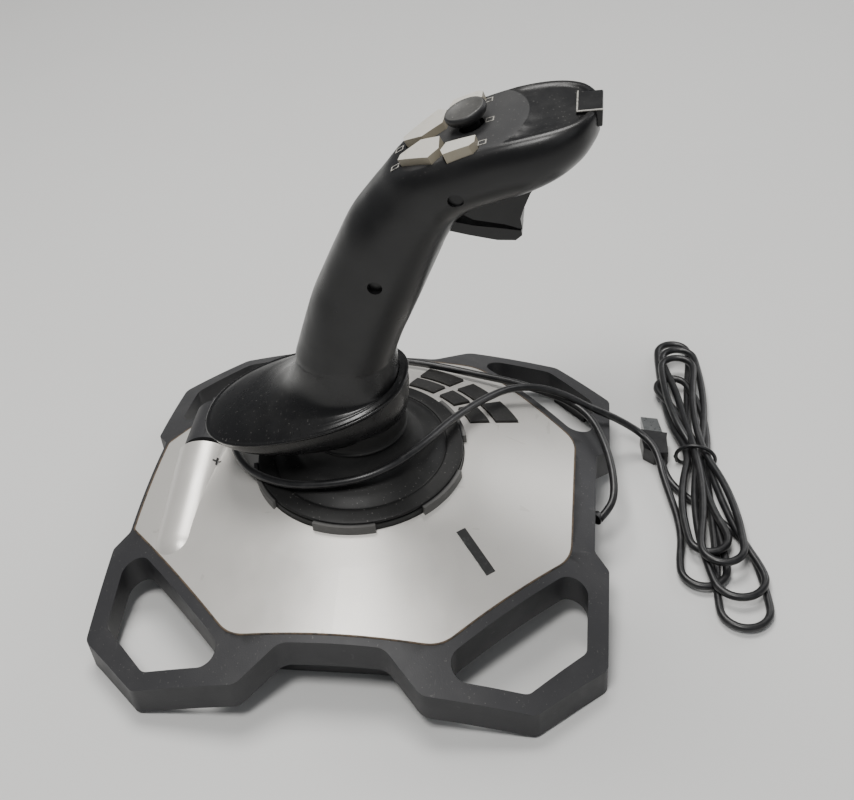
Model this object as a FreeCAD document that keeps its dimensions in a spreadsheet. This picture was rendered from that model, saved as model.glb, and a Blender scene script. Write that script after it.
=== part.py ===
"""Flight joystick: domed base with four open foot loops, sprung stick, twist handle and free cord.

Millimetres. +Z is up, the user sits at -Y, the stick leans towards +Y, the user's right is +X.
The origin is the middle of the base's footprint on the table.
"""
import FreeCAD, Part
import math
import os

import Sketcher

Vector = FreeCAD.Vector

# ---------------------------------------------------------------- driving dimensions
DIMS = {
    # domed top of the base: an arc near the middle, then a straight slope
    "apex_z": 56.5, "dome_arc": 160.0, "dome_turn": 60.0, "dome_edge": 150.0, "shell_deep": 14.5,
    "skin": 2.2,
    # base outline, one quarter
    "waist_x": 88.9, "waist_y": 21.0, "knee_x": 104.5, "knee_y": 37.0, "heel_y": 81.2,
    "toe_x": 80.6, "toe_y": 108.4, "jog_x": 36.5, "side_x": 29.0, "side_y": 102.2,
    "foot_round": 5.0, "knee_round": 7.0, "waist_round": 8.0, "jog_round": 3.0,
    # opening in each foot
    "loop_x": 97.3, "loop_low_y": 37.4, "loop_high_y": 77.9, "loop_toe_x": 75.7, "loop_y": 99.9,
    "loop_in_x": 34.8, "loop_long_round": 7.0, "loop_short_round": 5.0,
    # silver cover, and the casing under it
    "cover_x": 85.5, "cover_y": 43.0, "cover_back_x": 36.0, "cover_back_y": 92.5,
    "cover_user_x": 28.0, "cover_user_y": 100.5, "cover_round": 17.0, "cover_sharp": 3.0,
    "tub_x": 80.0, "tub_y": 89.0, "tub_low_x": 30.0, "tub_low_y": 39.0, "tub_wall": 3.0,
    "tub_z": 3.5, "lid": 1.5,
    # feet and base screws
    "pad_long": 22.0, "pad_wide": 6.0, "pad_at": 90.5, "pad_top": 9.0,
    "screw_at": 50.0, "screw_head": 2.6, "screw_deep": 1.2,
    # centre ring and boot
    "boss_hole": 45.2, "boss_out": 44.9, "boss_in": 36.0, "boss_z": 48.4, "boss_top": 52.6,
    "tab_out": 46.6, "tab_in": 44.8, "tab_top": 53.9, "tab_sweep": 33.0, "tab_step": 60.0,
    "boot_out": 44.6, "boot_rim_z": 54.4, "boot_slope_r": 31.0, "boot_slope_z": 58.6, "boot_foot_r": 25.5,
    "boot_foot_z": 62.0, "neck_r": 22.6, "neck_low_z": 69.0, "neck_top_z": 79.4,
    "boot_in_r": 40.0, "boot_slope_in_r": 30.4, "boot_slope_in_z": 56.9, "boot_foot_in_r": 24.2,
    "boot_foot_in_z": 60.8, "neck_in_r": 21.0,
    # stick mechanism
    "pivot_z": 42.0, "pin_r": 3.0, "pin_hole": 3.05,
    "bracket_x": 27.0, "bracket_wall": 4.0, "bracket_y": 10.0, "bracket_top": 48.0,
    "bracket_foot_y": 20.0, "bracket_foot": 2.5,
    "yoke_x": 25.0, "yoke_y": 22.0, "yoke_wall": 5.0, "yoke_half": 4.0, "yoke_pin": 31.5,
    "shaft_r": 10.0, "shaft_low": 24.0, "shaft_top": 112.0, "shaft_pin": 21.8,
    "collar_r": 19.0, "collar_z": 76.0, "collar_thick": 3.0,
    "sensor_long": 9.0, "sensor_half": 6.0, "sensor_recess": 3.4,
    # twist bearing inside the handle
    "bush_hole": 10.05, "bush_r": 15.0, "bush_z": 84.0, "bush_high": 12.0,
    "spring_r": 12.4, "spring_wire": 0.8, "spring_step": 2.6, "spring_high": 7.8,
    "twist_sensor_r": 9.0, "twist_sensor_high": 5.0, "rest_bore": 14.5,
    # room under the palm rest for the boot's neck
    "neck_room_r": 23.8, "neck_room_top": 80.4,
    # top of the head: part of a large cylinder lying along X
    "crown_y": 110.0, "crown_z": 61.0, "crown_r": 159.0, "cap_thick": 3.0, "wall": 2.4,
    "head_half": 40.0, "nose_x": 7.0, "nose_y": 90.6, "nose_long": 12.0, "nose_z": 207.0,
    "nose_high": 20.0, "nose_up": 0.8,
    # controls on the head
    "key_up": 2.7, "key_down": 4.0, "key_gap": 0.4, "key_high": 10.0,
    "rear_tilt": 26.5, "front_tilt": 21.1,
    "hat_tilt": 20.2, "hat_r": 7.7, "hat_neck_r": 5.4, "hat_low": 2.4, "hat_flare": 2.2, "hat_high": 7.0,
    "hat_dish": 28.0, "hat_dish_deep": 0.9, "hat_stem": 3.2, "hat_hole": 5.0, "hat_pivot": -6.0,
    "hat_ball": 2.4,
    "hat_socket": 2.45, "hat_shank": 1.4, "hat_throat": 2.1, "hat_foot": -13.0,
    "trigger_half": 7.0, "trigger_slot": 7.7, "trigger_pin": 1.5, "trigger_pin_hole": 1.55,
    "trigger_pin_long": 11.0, "boss_r": 4.0, "boss_inner": 8.0,
    "trigger_y": 76.0, "trigger_z": 198.0, "slot_low_y": 43.0, "slot_low_z": 166.5,
    "slot_long": 47.5, "slot_high": 39.0, "rest_bar": 5.0,
    "thumb_y": 50.0, "thumb_z": 193.5, "thumb_r": 6.0, "thumb_out": 24.8, "thumb_long": 8.0,
    "handle_hole": 2.9, "handle_screw_x": 12.0, "handle_screw_long": 2.0, "handle_screw_r": 2.6,
    "upper_screw_y": 50.8, "upper_screw_z": 193.2, "lower_screw_y": 18.5, "lower_screw_z": 153.7,
    # six base keys in two curved rows
    "row_in": 52.5, "row_in_out": 61.5, "row_out": 65.0, "row_out_out": 76.0,
    "base_key_up": 1.2, "base_key_down": 5.0, "board_x": -62.0, "board_y": 12.0,
    "board_long": 36.0, "board_wide": 40.0, "board_z": 26.0, "board_thick": 1.6,
    # throttle
    "drum_r": 12.8, "drum_gap": 0.6, "drum_x": -38.0, "drum_long": 25.4, "drum_y": -75.0,
    "drum_z": 33.5, "fin_high": 14.5, "fin_wide": 4.0, "fin_long": 16.0, "hump_r": 14.0,
    "hump_wall": 2.0, "hump_x": -12.0, "hump_long": 49.0, "hump_tilt": 11.8,
    "axle_r": 2.0, "axle_hole": 2.05, "axle_x": -37.0, "axle_long": 30.4, "cheek": 5.0,
    "cheek_gap": 1.0, "cheek_over": 2.4,
    # badge
    "badge_x": 38.5, "badge_y": 45.3, "badge_long": 20.5, "badge_wide": 4.4, "badge_turn": 41.0,
    "badge_up": 0.3,
    # weight and circuit board on the casing floor
    "ballast_x": -44.0, "ballast_y": -68.0, "ballast_long": 88.0, "ballast_wide": 44.0,
    "ballast_high": 5.0, "main_x": -30.0, "main_y": 26.0, "main_long": 60.0, "main_wide": 44.0,
    # cord
    "cord_r": 1.75, "gland_x": 5.5, "gland_z": 22.0, "gland_r": 3.0, "gland_end": 102.7,
    "gland_start": 96.0, "hank_low": 0.3, "hank_high": 12.7, "plug_low": 0.3, "plug_high": 8.0,
    "shell_low": 2.0, "shell_high": 4.5,
}

# handle sections from the palm rest up: middle y and z, tilt, half depth, half width
SECTION_COLUMNS = ("y", "z", "tilt", "deep", "wide")
GRIP = {
    "grip_foot": (0.0, 111.0, 0.0, 20.4, 19.5),
    "grip_low": (6.7, 129.3, -22.0, 19.3, 18.4),
    "grip_mid": (11.8, 140.3, -26.0, 19.2, 18.0),
    "grip_high": (17.6, 152.4, -31.0, 19.0, 18.4),
    "grip_neck": (23.5, 164.5, -34.0, 18.6, 19.3),
    "grip_top": (30.3, 176.2, -33.0, 17.2, 20.0),
    "grip_end": (40.0, 190.0, -28.0, 15.0, 19.0),
}
HEAD = {
    "head_floor": (46.0, 178.0, 16.0, 20.0, 11.0),
    "head_low": (55.5, 186.0, 16.0, 33.0, 17.5),
    "head_side": (59.5, 194.0, 16.0, 38.5, 21.5),
    "head_rim": (60.5, 203.0, 16.0, 40.0, 23.5),
    "head_over": (60.0, 224.0, 16.0, 38.7, 23.2),
}
RIM = {
    "rim_base": (-19.6, 75.4, 8.0, 43.4, 27.6),
    "rim_mid": (-20.5, 82.4, 12.8, 46.2, 30.2),
    "rim_top": (-20.8, 85.5, 15.6, 45.8, 30.0),
}
FLARE = {
    "flare_rim": (-20.8, 85.5, 15.6, 45.8, 30.0),
    "flare_low": (-12.0, 91.5, 14.0, 34.6, 25.8),
    "flare_mid": (-3.6, 99.5, 8.0, 25.0, 21.6),
    "flare_top": (0.0, 111.0, 0.0, 20.4, 19.5),
}
SECTION_POWER = 2.25
SECTION_STEPS = 20

# outlines drawn as corner lists: named here, held in the sheet as NAME_x1, NAME_y1 and so on
OUTLINES = {
    "rear_key": ((4.8, -8.8), (8.0, -9.4), (17.0, 4.0), (13.5, 7.9), (4.8, 7.2), (1.2, -0.7)),
    "front_key": ((11.5, -4.8), (15.5, -6.5), (19.3, -5.2), (19.5, 4.4), (18.0, 6.3), (13.5, 6.3)),
    "trigger_side": ((88.0, 199.5), (85.0, 197.5), (80.0, 193.8), (75.6, 187.6), (72.8, 180.5),
                     (71.8, 177.0), (72.5, 172.6), (66.0, 174.6), (55.0, 176.4), (50.5, 179.0),
                     (51.0, 186.0), (56.0, 190.0), (65.0, 195.0), (70.0, 201.0), (78.0, 203.0),
                     (86.0, 202.5)),
    "bar_side": ((40.0, 173.8), (45.3, 170.4), (52.6, 168.6), (63.1, 166.5), (69.9, 166.5),
                 (72.2, 168.6), (72.0, 170.6), (66.0, 171.4), (55.0, 172.6), (44.0, 174.9)),
    "hank_plan": ((-146.0, 136.0), (-148.0, 144.0), (-60.0, 162.0), (-10.0, 176.0), (12.0, 183.0),
                  (30.0, 182.0), (54.0, 170.0), (50.0, 158.0), (33.0, 140.0), (22.0, 136.0),
                  (-44.0, 136.0), (-50.0, 138.5), (-70.0, 138.5), (-78.0, 134.0), (-108.0, 128.0)),
    "plug_plan": ((-51.5, 130.0), (-52.0, 136.6), (-64.0, 136.0), (-66.0, 136.5), (-68.0, 124.0),
                  (-65.0, 123.6), (-55.0, 125.0)),
    "shell_plan": ((-66.3, 134.8), (-67.7, 125.8), (-79.0, 124.1), (-78.0, 132.2)),
}

doc = FreeCAD.newDocument("flight_joystick")
sheet = doc.addObject("Spreadsheet::Sheet", "dims")


def fill_sheet():
    values = dict(DIMS)
    for sections in (GRIP, HEAD, RIM, FLARE):
        for prefix, row in sections.items():
            for column, value in zip(SECTION_COLUMNS, row):
                values[prefix + "_" + column] = value
    for prefix, corners in OUTLINES.items():
        for index, (x, y) in enumerate(corners, start=1):
            values["%s_x%d" % (prefix, index)] = x
            values["%s_y%d" % (prefix, index)] = y
    for line, (alias, value) in enumerate(values.items(), start=1):
        sheet.set("A%d" % line, alias)
        sheet.set("B%d" % line, str(value))
        sheet.setAlias("B%d" % line, alias)
    doc.recompute()


def size(alias):
    """A driving dimension read from the sheet."""
    return float(getattr(sheet, alias))


fill_sheet()


# ---------------------------------------------------------------- shared ways of making pieces
def bind(piece, **expressions):
    """Bind properties to the sheet; '_' in a keyword stands for '.' in the property path."""
    for key, expression in expressions.items():
        piece.setExpression(key.replace("_", "."), expression)
    return piece


def place(piece, x="0", y="0", z="0", axis=None, angle="0"):
    """Bind a piece's position, and its turn in degrees about an axis."""
    if axis is not None:
        piece.Placement = FreeCAD.Placement(Vector(), FreeCAD.Rotation(axis, 1.0))
        piece.setExpression("Placement.Rotation.Angle", angle)
    return bind(piece, Placement_Base_x=x, Placement_Base_y=y, Placement_Base_z=z)


def box(name, corner, extent):
    piece = doc.addObject("Part::Box", name)
    bind(piece, Length=extent[0], Width=extent[1], Height=extent[2])
    return place(piece, *corner)


def cylinder(name, radius, height, foot=("0", "0", "0"), **turn):
    piece = doc.addObject("Part::Cylinder", name)
    bind(piece, Radius=radius, Height=height)
    return place(piece, *foot, **turn)


def cylinder_x(name, radius, height, foot):
    return cylinder(name, radius, height, foot, axis=Vector(0, 1, 0), angle="90")


def cylinder_y(name, radius, height, foot):
    return cylinder(name, radius, height, foot, axis=Vector(-1, 0, 0), angle="90")


def boolean(kind, name):
    """Boolean that keeps its faces as they are: joining curved faces again would spoil the lofts."""
    piece = doc.addObject(kind, name)
    piece.Refine = False
    return piece


def fuse(name, *pieces):
    piece = boolean("Part::MultiFuse", name)
    piece.Shapes = list(pieces)
    return piece


def common(name, *pieces):
    piece = boolean("Part::MultiCommon", name)
    piece.Shapes = list(pieces)
    return piece


def cut(name, base, *tools):
    piece = boolean("Part::Cut", name)
    piece.Base = base
    piece.Tool = tools[0] if len(tools) == 1 else fuse(name + "_tools", *tools)
    return piece


def grown(name, prism, gap):
    """The solid with every face moved outwards by the gap, or inwards where it is negative."""
    piece = doc.addObject("Part::Offset", name)
    piece.Source = prism
    piece.Join = "Intersection"
    return bind(piece, Value=gap)


def number(term):
    """Value of a corner term: an alias, or an alias with a minus sign."""
    return -size(term[1:]) if term.startswith("-") else size(term)


def reference(term):
    return "-dims." + term[1:] if term.startswith("-") else "dims." + term


def outline(prefix, x_sign=""):
    """Corner terms of a named outline, mirrored where the sign is a minus."""
    corners = range(1, len(OUTLINES[prefix]) + 1)
    return [("%s%s_x%d" % (x_sign, prefix, index), "%s_y%d" % (prefix, index)) for index in corners]


def new_sketch(body, name, role):
    plane = next(item for item in body.Origin.OriginFeatures if item.Role == role)
    sketch = body.newObject("Sketcher::SketchObject", name)
    sketch.AttachmentSupport = [(plane, "")]
    sketch.MapMode = "FlatFace"
    return sketch


def polygon_sketch(body, name, corners, role):
    """Closed polygon whose every corner is held at two distances that come from the sheet."""
    sketch = new_sketch(body, name, role)
    points = [Vector(number(a), number(b), 0) for a, b in corners]
    count = len(points)
    for index in range(count):
        sketch.addGeometry(Part.LineSegment(points[index], points[(index + 1) % count]))
    for index in range(count):
        sketch.addConstraint(Sketcher.Constraint("Coincident", index, 2, (index + 1) % count, 1))
    for edge, terms in enumerate(corners):
        for kind, term in zip(("DistanceX", "DistanceY"), terms):
            index = sketch.addConstraint(Sketcher.Constraint(kind, -1, 1, edge, 1, number(term)))
            sketch.setExpression("Constraints[%d]" % index, reference(term))
    return sketch


def upright_edges(shape, points, normal):
    """Names of the straight edges along the normal that stand on one of the points."""
    names = []
    for index, edge in enumerate(shape.Edges, start=1):
        foot = edge.Vertexes[0].Point
        along = edge.Vertexes[-1].Point - foot
        upright = along.Length > 1e-6 and along.cross(normal).Length < 1e-6
        if upright and any((foot - point).cross(normal).Length < 1e-4 for point in points):
            names.append("Edge%d" % index)
    return names


def polygon_body(name, corners, length, start="0", role="XY_Plane", rounds=()):
    """A padded polygon whose edges across the sketch are rounded at the listed corners."""
    body = doc.addObject("PartDesign::Body", name)
    sketch = polygon_sketch(body, name + "_outline", corners, role)
    sketch.setExpression("AttachmentOffset.Base.z", start)
    last = body.newObject("PartDesign::Pad", name + "_pad")
    last.Profile = sketch
    bind(last, Length=length)
    doc.recompute()
    normal = sketch.Placement.Rotation.multVec(Vector(0, 0, 1))
    for order, (radius, round_corners) in enumerate(rounds):
        points = [sketch.Placement.multVec(Vector(number(a), number(b), 0)) for a, b in round_corners]
        fillet = body.newObject("PartDesign::Fillet", "%s_round%d" % (name, order))
        fillet.Base = (last, upright_edges(last.Shape, points, normal))
        bind(fillet, Radius=radius)
        doc.recompute()
        last = fillet
    return body


def turned_body(name, corners):
    """Piece turned about Z from a half profile of radius and height pairs."""
    body = doc.addObject("PartDesign::Body", name)
    sketch = polygon_sketch(body, name + "_profile", corners, "XZ_Plane")
    turned = body.newObject("PartDesign::Revolution", name + "_turned")
    turned.Profile = sketch
    turned.ReferenceAxis = (sketch, ["V_Axis"])
    return body


def section(name, y, z, tilt, deep, wide):
    """Closed smooth outline in a plane tilted about X: a superellipse, deep along Y, wide along X."""
    slope = math.radians(tilt)
    points = []
    for step in range(SECTION_STEPS):
        angle = 2 * math.pi * step / SECTION_STEPS
        across = wide * math.copysign(abs(math.cos(angle)) ** (2 / SECTION_POWER), math.cos(angle))
        along = deep * math.copysign(abs(math.sin(angle)) ** (2 / SECTION_POWER), math.sin(angle))
        points.append(Vector(across, y + along * math.cos(slope), z + along * math.sin(slope)))
    curve = Part.BSplineCurve()
    curve.interpolate(points, PeriodicFlag=True)
    piece = doc.addObject("Part::Feature", name)
    piece.Shape = Part.Wire(curve.toShape())
    return piece


def stacked_loft(name, sections, inset=0.0):
    """Solid through sections whose sizes are in the sheet, each drawn in by the inset."""
    outlines = []
    for prefix in sections:
        y, z, tilt, deep, wide = (size(prefix + "_" + column) for column in SECTION_COLUMNS)
        outlines.append(section(name + "_" + prefix, y, z, tilt, deep - inset, wide - inset))
    loft = doc.addObject("Part::Loft", name)
    loft.Sections = outlines
    loft.Solid = True
    return loft


def spring(name, foot_z):
    """Coil spring round the stick's shaft."""
    path = bind(doc.addObject("Part::Helix", name + "_path"), Radius="dims.spring_r",
                Pitch="dims.spring_step", Height="dims.spring_high")
    wire = bind(doc.addObject("Part::Circle", name + "_wire"), Radius="dims.spring_wire")
    place(wire, x="dims.spring_r", axis=Vector(1, 0, 0), angle="90")
    coil = doc.addObject("Part::Sweep", name)
    coil.Sections = [wire]
    coil.Spine = (path, [])
    coil.Solid = True
    coil.Frenet = True
    return place(coil, z=foot_z)


def dome(name, raised="0"):
    """Everything under the base's domed top, raised or lowered by an amount."""
    body = doc.addObject("PartDesign::Body", name)
    sketch = new_sketch(body, name + "_profile", "XZ_Plane")
    radius, turn, edge, apex = (size(alias) for alias in ("dome_arc", "dome_turn", "dome_edge", "apex_z"))
    half_angle = math.asin(turn / radius)
    middle = Vector(0, apex - radius, 0)
    knee = Vector(turn, middle.y + radius * math.cos(half_angle), 0)
    rim = Vector(edge, knee.y - (edge - turn) * math.tan(half_angle), 0)
    floor = Vector(edge, -apex, 0)
    foot = Vector(0, -apex, 0)
    circle = Part.Circle(middle, Vector(0, 0, 1), radius)
    sketch.addGeometry(Part.ArcOfCircle(circle, math.pi / 2 - half_angle, math.pi / 2))
    for first, second in ((knee, rim), (rim, floor), (floor, foot), (foot, Vector(0, apex, 0))):
        sketch.addGeometry(Part.LineSegment(first, second))
    rules = (("Tangent", 0, 1, 1, 1), ("Coincident", 1, 2, 2, 1), ("Coincident", 2, 2, 3, 1),
             ("Coincident", 3, 2, 4, 1), ("Coincident", 4, 2, 0, 2), ("Vertical", 2), ("Horizontal", 3),
             ("PointOnObject", 0, 3, -2), ("PointOnObject", 0, 2, -2), ("PointOnObject", 3, 2, -2))
    for rule in rules:
        sketch.addConstraint(Sketcher.Constraint(*rule))
    bound = ((("Radius", 0, radius), "dims.dome_arc"),
             (("DistanceX", -1, 1, 0, 1, turn), "dims.dome_turn"),
             (("DistanceX", -1, 1, 2, 2, edge), "dims.dome_edge"),
             (("DistanceY", -1, 1, 0, 2, apex), "dims.apex_z + " + raised),
             (("DistanceY", -1, 1, 3, 2, -apex), "-dims.apex_z"))
    for rule, expression in bound:
        index = sketch.addConstraint(Sketcher.Constraint(*rule))
        sketch.setExpression("Constraints[%d]" % index, expression)
    turned = body.newObject("PartDesign::Revolution", name + "_turned")
    turned.Profile = sketch
    turned.ReferenceAxis = (sketch, ["V_Axis"])
    return body


def crown(name, radius):
    """Solid cylinder along X whose top is the head's crowned surface."""
    foot = ("-dims.head_half", "dims.crown_y", "dims.crown_z")
    return cylinder_x(name, radius, "2 * dims.head_half", foot)


def four_ways(corners):
    """Corners of the +X +Y quarter repeated in all four, in order round the whole outline."""
    whole = []
    for x_sign, y_sign, backwards in (("", "", False), ("-", "", True), ("-", "-", False), ("", "-", True)):
        quarter = [(x_sign + a, y_sign + b) for a, b in corners]
        whole += quarter[::-1] if backwards else quarter
    return whole


# ---------------------------------------------------------------- base
WAIST, KNEE, HEEL = ("waist_x", "waist_y"), ("knee_x", "knee_y"), ("knee_x", "heel_y")
TOE, JOG, SIDE = ("toe_x", "toe_y"), ("jog_x", "toe_y"), ("side_x", "side_y")
LOOP = (("loop_x", "loop_low_y"), ("loop_x", "loop_high_y"), ("loop_toe_x", "loop_y"),
        ("loop_in_x", "loop_y"))
COVER = [("cover_x", "cover_y"), ("cover_back_x", "cover_back_y"), ("-cover_back_x", "cover_back_y"),
         ("-cover_x", "cover_y"), ("-cover_x", "-cover_y"), ("-cover_user_x", "-cover_user_y"),
         ("cover_user_x", "-cover_user_y"), ("cover_x", "-cover_y")]
COVER_ROUNDS = (("dims.cover_round", [COVER[index] for index in (0, 1, 2, 3, 4, 7)]),
                ("dims.cover_sharp", [COVER[5], COVER[6]]))
TUB_QUARTER = [("tub_x", "tub_low_y"), ("tub_low_x", "tub_y")]
QUARTERS = (("front_right", "", ""), ("front_left", "-", ""), ("user_left", "-", "-"),
            ("user_right", "", "-"))
BASE_KEY_ROWS = (("row_in", "row_in_out"), ("row_out", "row_out_out"))
BASE_KEY_COLUMNS = ((125.5, 12.0), (140.2, 10.4), (156.8, 14.0))
HIGH = "2 * dims.apex_z"
FLOOR = "(dims.tub_z + dims.tub_wall)"


def loop_prism(place_name, x_sign, y_sign):
    """Upright prism that opens one foot into a loop."""
    corners = [(x_sign + a, y_sign + b) for a, b in LOOP]
    rounds = (("dims.loop_long_round", [corners[0], corners[3]]),
              ("dims.loop_short_round", [corners[1], corners[2]]))
    return polygon_body("loop_" + place_name, corners, HIGH, rounds=rounds)


def throttle_room(name):
    """Room for the turning throttle wheel in the casing."""
    foot = ("dims.drum_x - dims.drum_gap", "dims.drum_y", "dims.drum_z")
    return cylinder_x(name, "dims.drum_r + dims.drum_gap", "dims.drum_long + 2 * dims.drum_gap", foot)


def make_base_frame(dome_top, dome_under_cover, dome_under_shell):
    """Black casing: a thick domed slab with four foot loops, open under the cover."""
    rounds = (("dims.foot_round", four_ways([HEEL, TOE])), ("dims.knee_round", four_ways([KNEE])),
              ("dims.waist_round", four_ways([WAIST])), ("dims.jog_round", four_ways([JOG, SIDE])))
    corners = four_ways([WAIST, KNEE, HEEL, TOE, JOG, SIDE])
    block = polygon_body("frame_block", corners, HIGH, rounds=rounds)
    slab = cut("frame_slab", common("frame_dome", block, dome_top), dome_under_shell)
    loops = [loop_prism(*quarter) for quarter in QUARTERS]
    recess_block = polygon_body("recess_block", COVER, HIGH, rounds=COVER_ROUNDS)
    recess = cut("cover_recess", recess_block, dome_under_cover)
    well = polygon_body("frame_well", four_ways(TUB_QUARTER), HIGH)
    gland_hole = cylinder_y("gland_hole", "dims.gland_r", "dims.gland_end - dims.tub_y",
                            ("dims.gland_x", "dims.tub_y", "dims.gland_z"))
    return cut("base_frame", slab, recess, well, gland_hole, throttle_room("frame_throttle_room"), *loops)


def make_base_keys():
    """Six curved keys on the user's left, and the tools for their holes in the cover."""
    raised = dome("dome_keys", "dims.base_key_up")
    lowered = dome("dome_key_feet", "-dims.base_key_down")
    keys, holes = [], []
    for row, (inner, outer) in enumerate(BASE_KEY_ROWS):
        for column, (start, sweep) in enumerate(BASE_KEY_COLUMNS):
            name = "base_button_%d" % (row * len(BASE_KEY_COLUMNS) + column + 1)
            pie = cylinder(name + "_pie", "dims." + outer, HIGH, axis=Vector(0, 0, 1),
                           angle="%.1f" % (start - sweep / 2))
            pie.Angle = sweep
            prism = cut(name + "_prism", pie, cylinder(name + "_core", "dims." + inner, HIGH))
            keys.append(cut(name, common(name + "_top", prism, raised), lowered))
            holes.append(grown(name + "_hole", prism, "dims.key_gap"))
    return keys, holes


def hump_cylinder(name, radius):
    """Cylinder along X that sinks towards +X: the fairing beside the throttle."""
    foot = ("dims.hump_x", "dims.drum_y", "dims.drum_z")
    return cylinder(name, radius, "dims.hump_long", foot, axis=Vector(0, 1, 0), angle="90 + dims.hump_tilt")


def hump_end(name):
    """Ball that rounds off the low end of the fairing."""
    piece = bind(doc.addObject("Part::Sphere", name), Radius="dims.hump_r")
    return place(piece, "dims.hump_x + dims.hump_long * cos(dims.hump_tilt)", "dims.drum_y",
                 "dims.drum_z - dims.hump_long * sin(dims.hump_tilt)")


def make_top_plate(dome_top, dome_under_cover, key_holes):
    """Silver cover that follows the dome, with its holes and the throttle fairing."""
    block = polygon_body("cover_block", COVER, HIGH, rounds=COVER_ROUNDS)
    skin = common("cover_skin", block, dome_top)
    hump = fuse("hump", hump_cylinder("hump_out", "dims.hump_r"), hump_end("hump_nose"))
    raised = fuse("cover_raised", skin, common("hump_on_cover", hump, block))
    boss_hole = cylinder("cover_boss_hole", "dims.boss_hole", HIGH)
    slot = box("throttle_slot",
               ("dims.drum_x - dims.drum_gap", "dims.drum_y - dims.drum_r - dims.drum_gap", "0"),
               ("dims.drum_long + 2 * dims.drum_gap", "2 * (dims.drum_r + dims.drum_gap)", HIGH))
    hollow = hump_cylinder("hump_in", "dims.hump_r - dims.hump_wall")
    bind(hollow, Height="dims.hump_long - dims.hump_wall")
    return cut("top_plate", raised, dome_under_cover, boss_hole, slot, hollow, *key_holes)


def make_tub(dome_under_cover):
    """Lower casing, an eight-sided cup up to the cover, and its lid with four screws."""
    outside = polygon_body("tub_block", four_ways(TUB_QUARTER), HIGH, start="dims.tub_z")
    hollow = grown("tub_hollow", outside, "-dims.tub_wall")
    tub = cut("base_tub", common("tub_dome", outside, dome_under_cover), hollow,
              throttle_room("tub_throttle_room"))
    lid_block = polygon_body("lid_block", four_ways(TUB_QUARTER), "dims.lid", start="dims.tub_z - dims.lid")
    screws = []
    for place_name, x_sign, y_sign in QUARTERS:
        where = (reference(x_sign + "screw_at"), reference(y_sign + "screw_at"), "dims.tub_z - dims.lid")
        screws.append(cylinder("base_screw_" + place_name, "dims.screw_head", "dims.screw_deep", where))
    return [tub, cut("base_cover", lid_block, *screws)] + screws


def make_feet(dome_under_shell):
    """Rubber bars across the four toes, from the table up to the underside of the casing."""
    feet = []
    for place_name, x_sign, y_sign in QUARTERS:
        turn = FreeCAD.Rotation(Vector(0, 0, 1), -45.0 if x_sign == y_sign else 45.0)
        bar = doc.addObject("Part::Box", "bar_" + place_name)
        bind(bar, Length="dims.pad_long", Width="dims.pad_wide", Height="dims.pad_top")
        half = Vector(size("pad_long") / 2, size("pad_wide") / 2, 0)
        middle = Vector(number(x_sign + "pad_at"), number(y_sign + "pad_at"), 0)
        bar.Placement = FreeCAD.Placement(middle - turn.multVec(half), turn)
        feet.append(common("foot_pad_" + place_name, bar, dome_under_shell))
    return feet


TAB_COUNT = 6


def make_centre_ring(dome_top):
    """Grey ring with six tabs round the boot, and the rubber boot itself."""
    band = turned_body("tab_band", [("boss_in", "boss_z"), ("boss_out", "boss_z"), ("boss_out", "boss_top"),
                                    ("boss_in", "boss_top")])
    tabs = []
    for index in range(TAB_COUNT):
        pie = cylinder("tab_%d" % index, "dims.tab_out", "dims.tab_top", axis=Vector(0, 0, 1),
                       angle="%d * dims.tab_step - dims.tab_sweep / 2" % index)
        bind(pie, Angle="dims.tab_sweep")
        tabs.append(pie)
    inner = cylinder("tab_bore", "dims.tab_in", HIGH)
    crown_tabs = cut("tab_crowns", fuse("tab_pies", *tabs), dome_top, inner)
    ring = fuse("tab_ring", band, crown_tabs)
    boot = turned_body("boot", [
        ("boot_out", "boss_top"), ("boot_out", "boot_rim_z"), ("boot_slope_r", "boot_slope_z"),
        ("boot_foot_r", "boot_foot_z"), ("neck_r", "neck_low_z"), ("neck_r", "neck_top_z"),
        ("neck_in_r", "neck_top_z"), ("neck_in_r", "neck_low_z"), ("boot_foot_in_r", "boot_foot_in_z"),
        ("boot_slope_in_r", "boot_slope_in_z"), ("boot_in_r", "boss_top")])
    return [ring, boot]


def make_throttle():
    """Wheel with a fin on a fixed axle, and the stand that holds the axle from the casing floor."""
    centre = ("dims.drum_x", "dims.drum_y", "dims.drum_z")
    drum = cylinder_x("throttle_drum", "dims.drum_r", "dims.drum_long", centre)
    fin = box("throttle_fin", ("dims.drum_x", "dims.drum_y - dims.fin_wide / 2", "dims.drum_z"),
              ("dims.fin_long", "dims.fin_wide", "dims.fin_high"))
    axle_foot = ("dims.axle_x", "dims.drum_y", "dims.drum_z")
    axle = cylinder_x("throttle_axle", "dims.axle_r", "dims.axle_long", axle_foot)
    bore = cylinder_x("throttle_bore", "dims.axle_hole", "dims.axle_long",
                      ("dims.drum_x - 1", "dims.drum_y", "dims.drum_z"))
    cheek = box("stand_block", ("dims.drum_x + dims.drum_long + dims.cheek_gap", "dims.drum_y - dims.cheek",
                                FLOOR),
                ("dims.cheek", "2 * dims.cheek", "dims.drum_z + dims.cheek_over - " + FLOOR))
    return [cut("throttle", fuse("throttle_body", drum, fin), bore), axle, cut("throttle_stand", cheek, axle)]


POST_SHARES = (("0.10", "0.10"), ("0.50", "0.90"), ("0.70", "0.25"))


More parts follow.
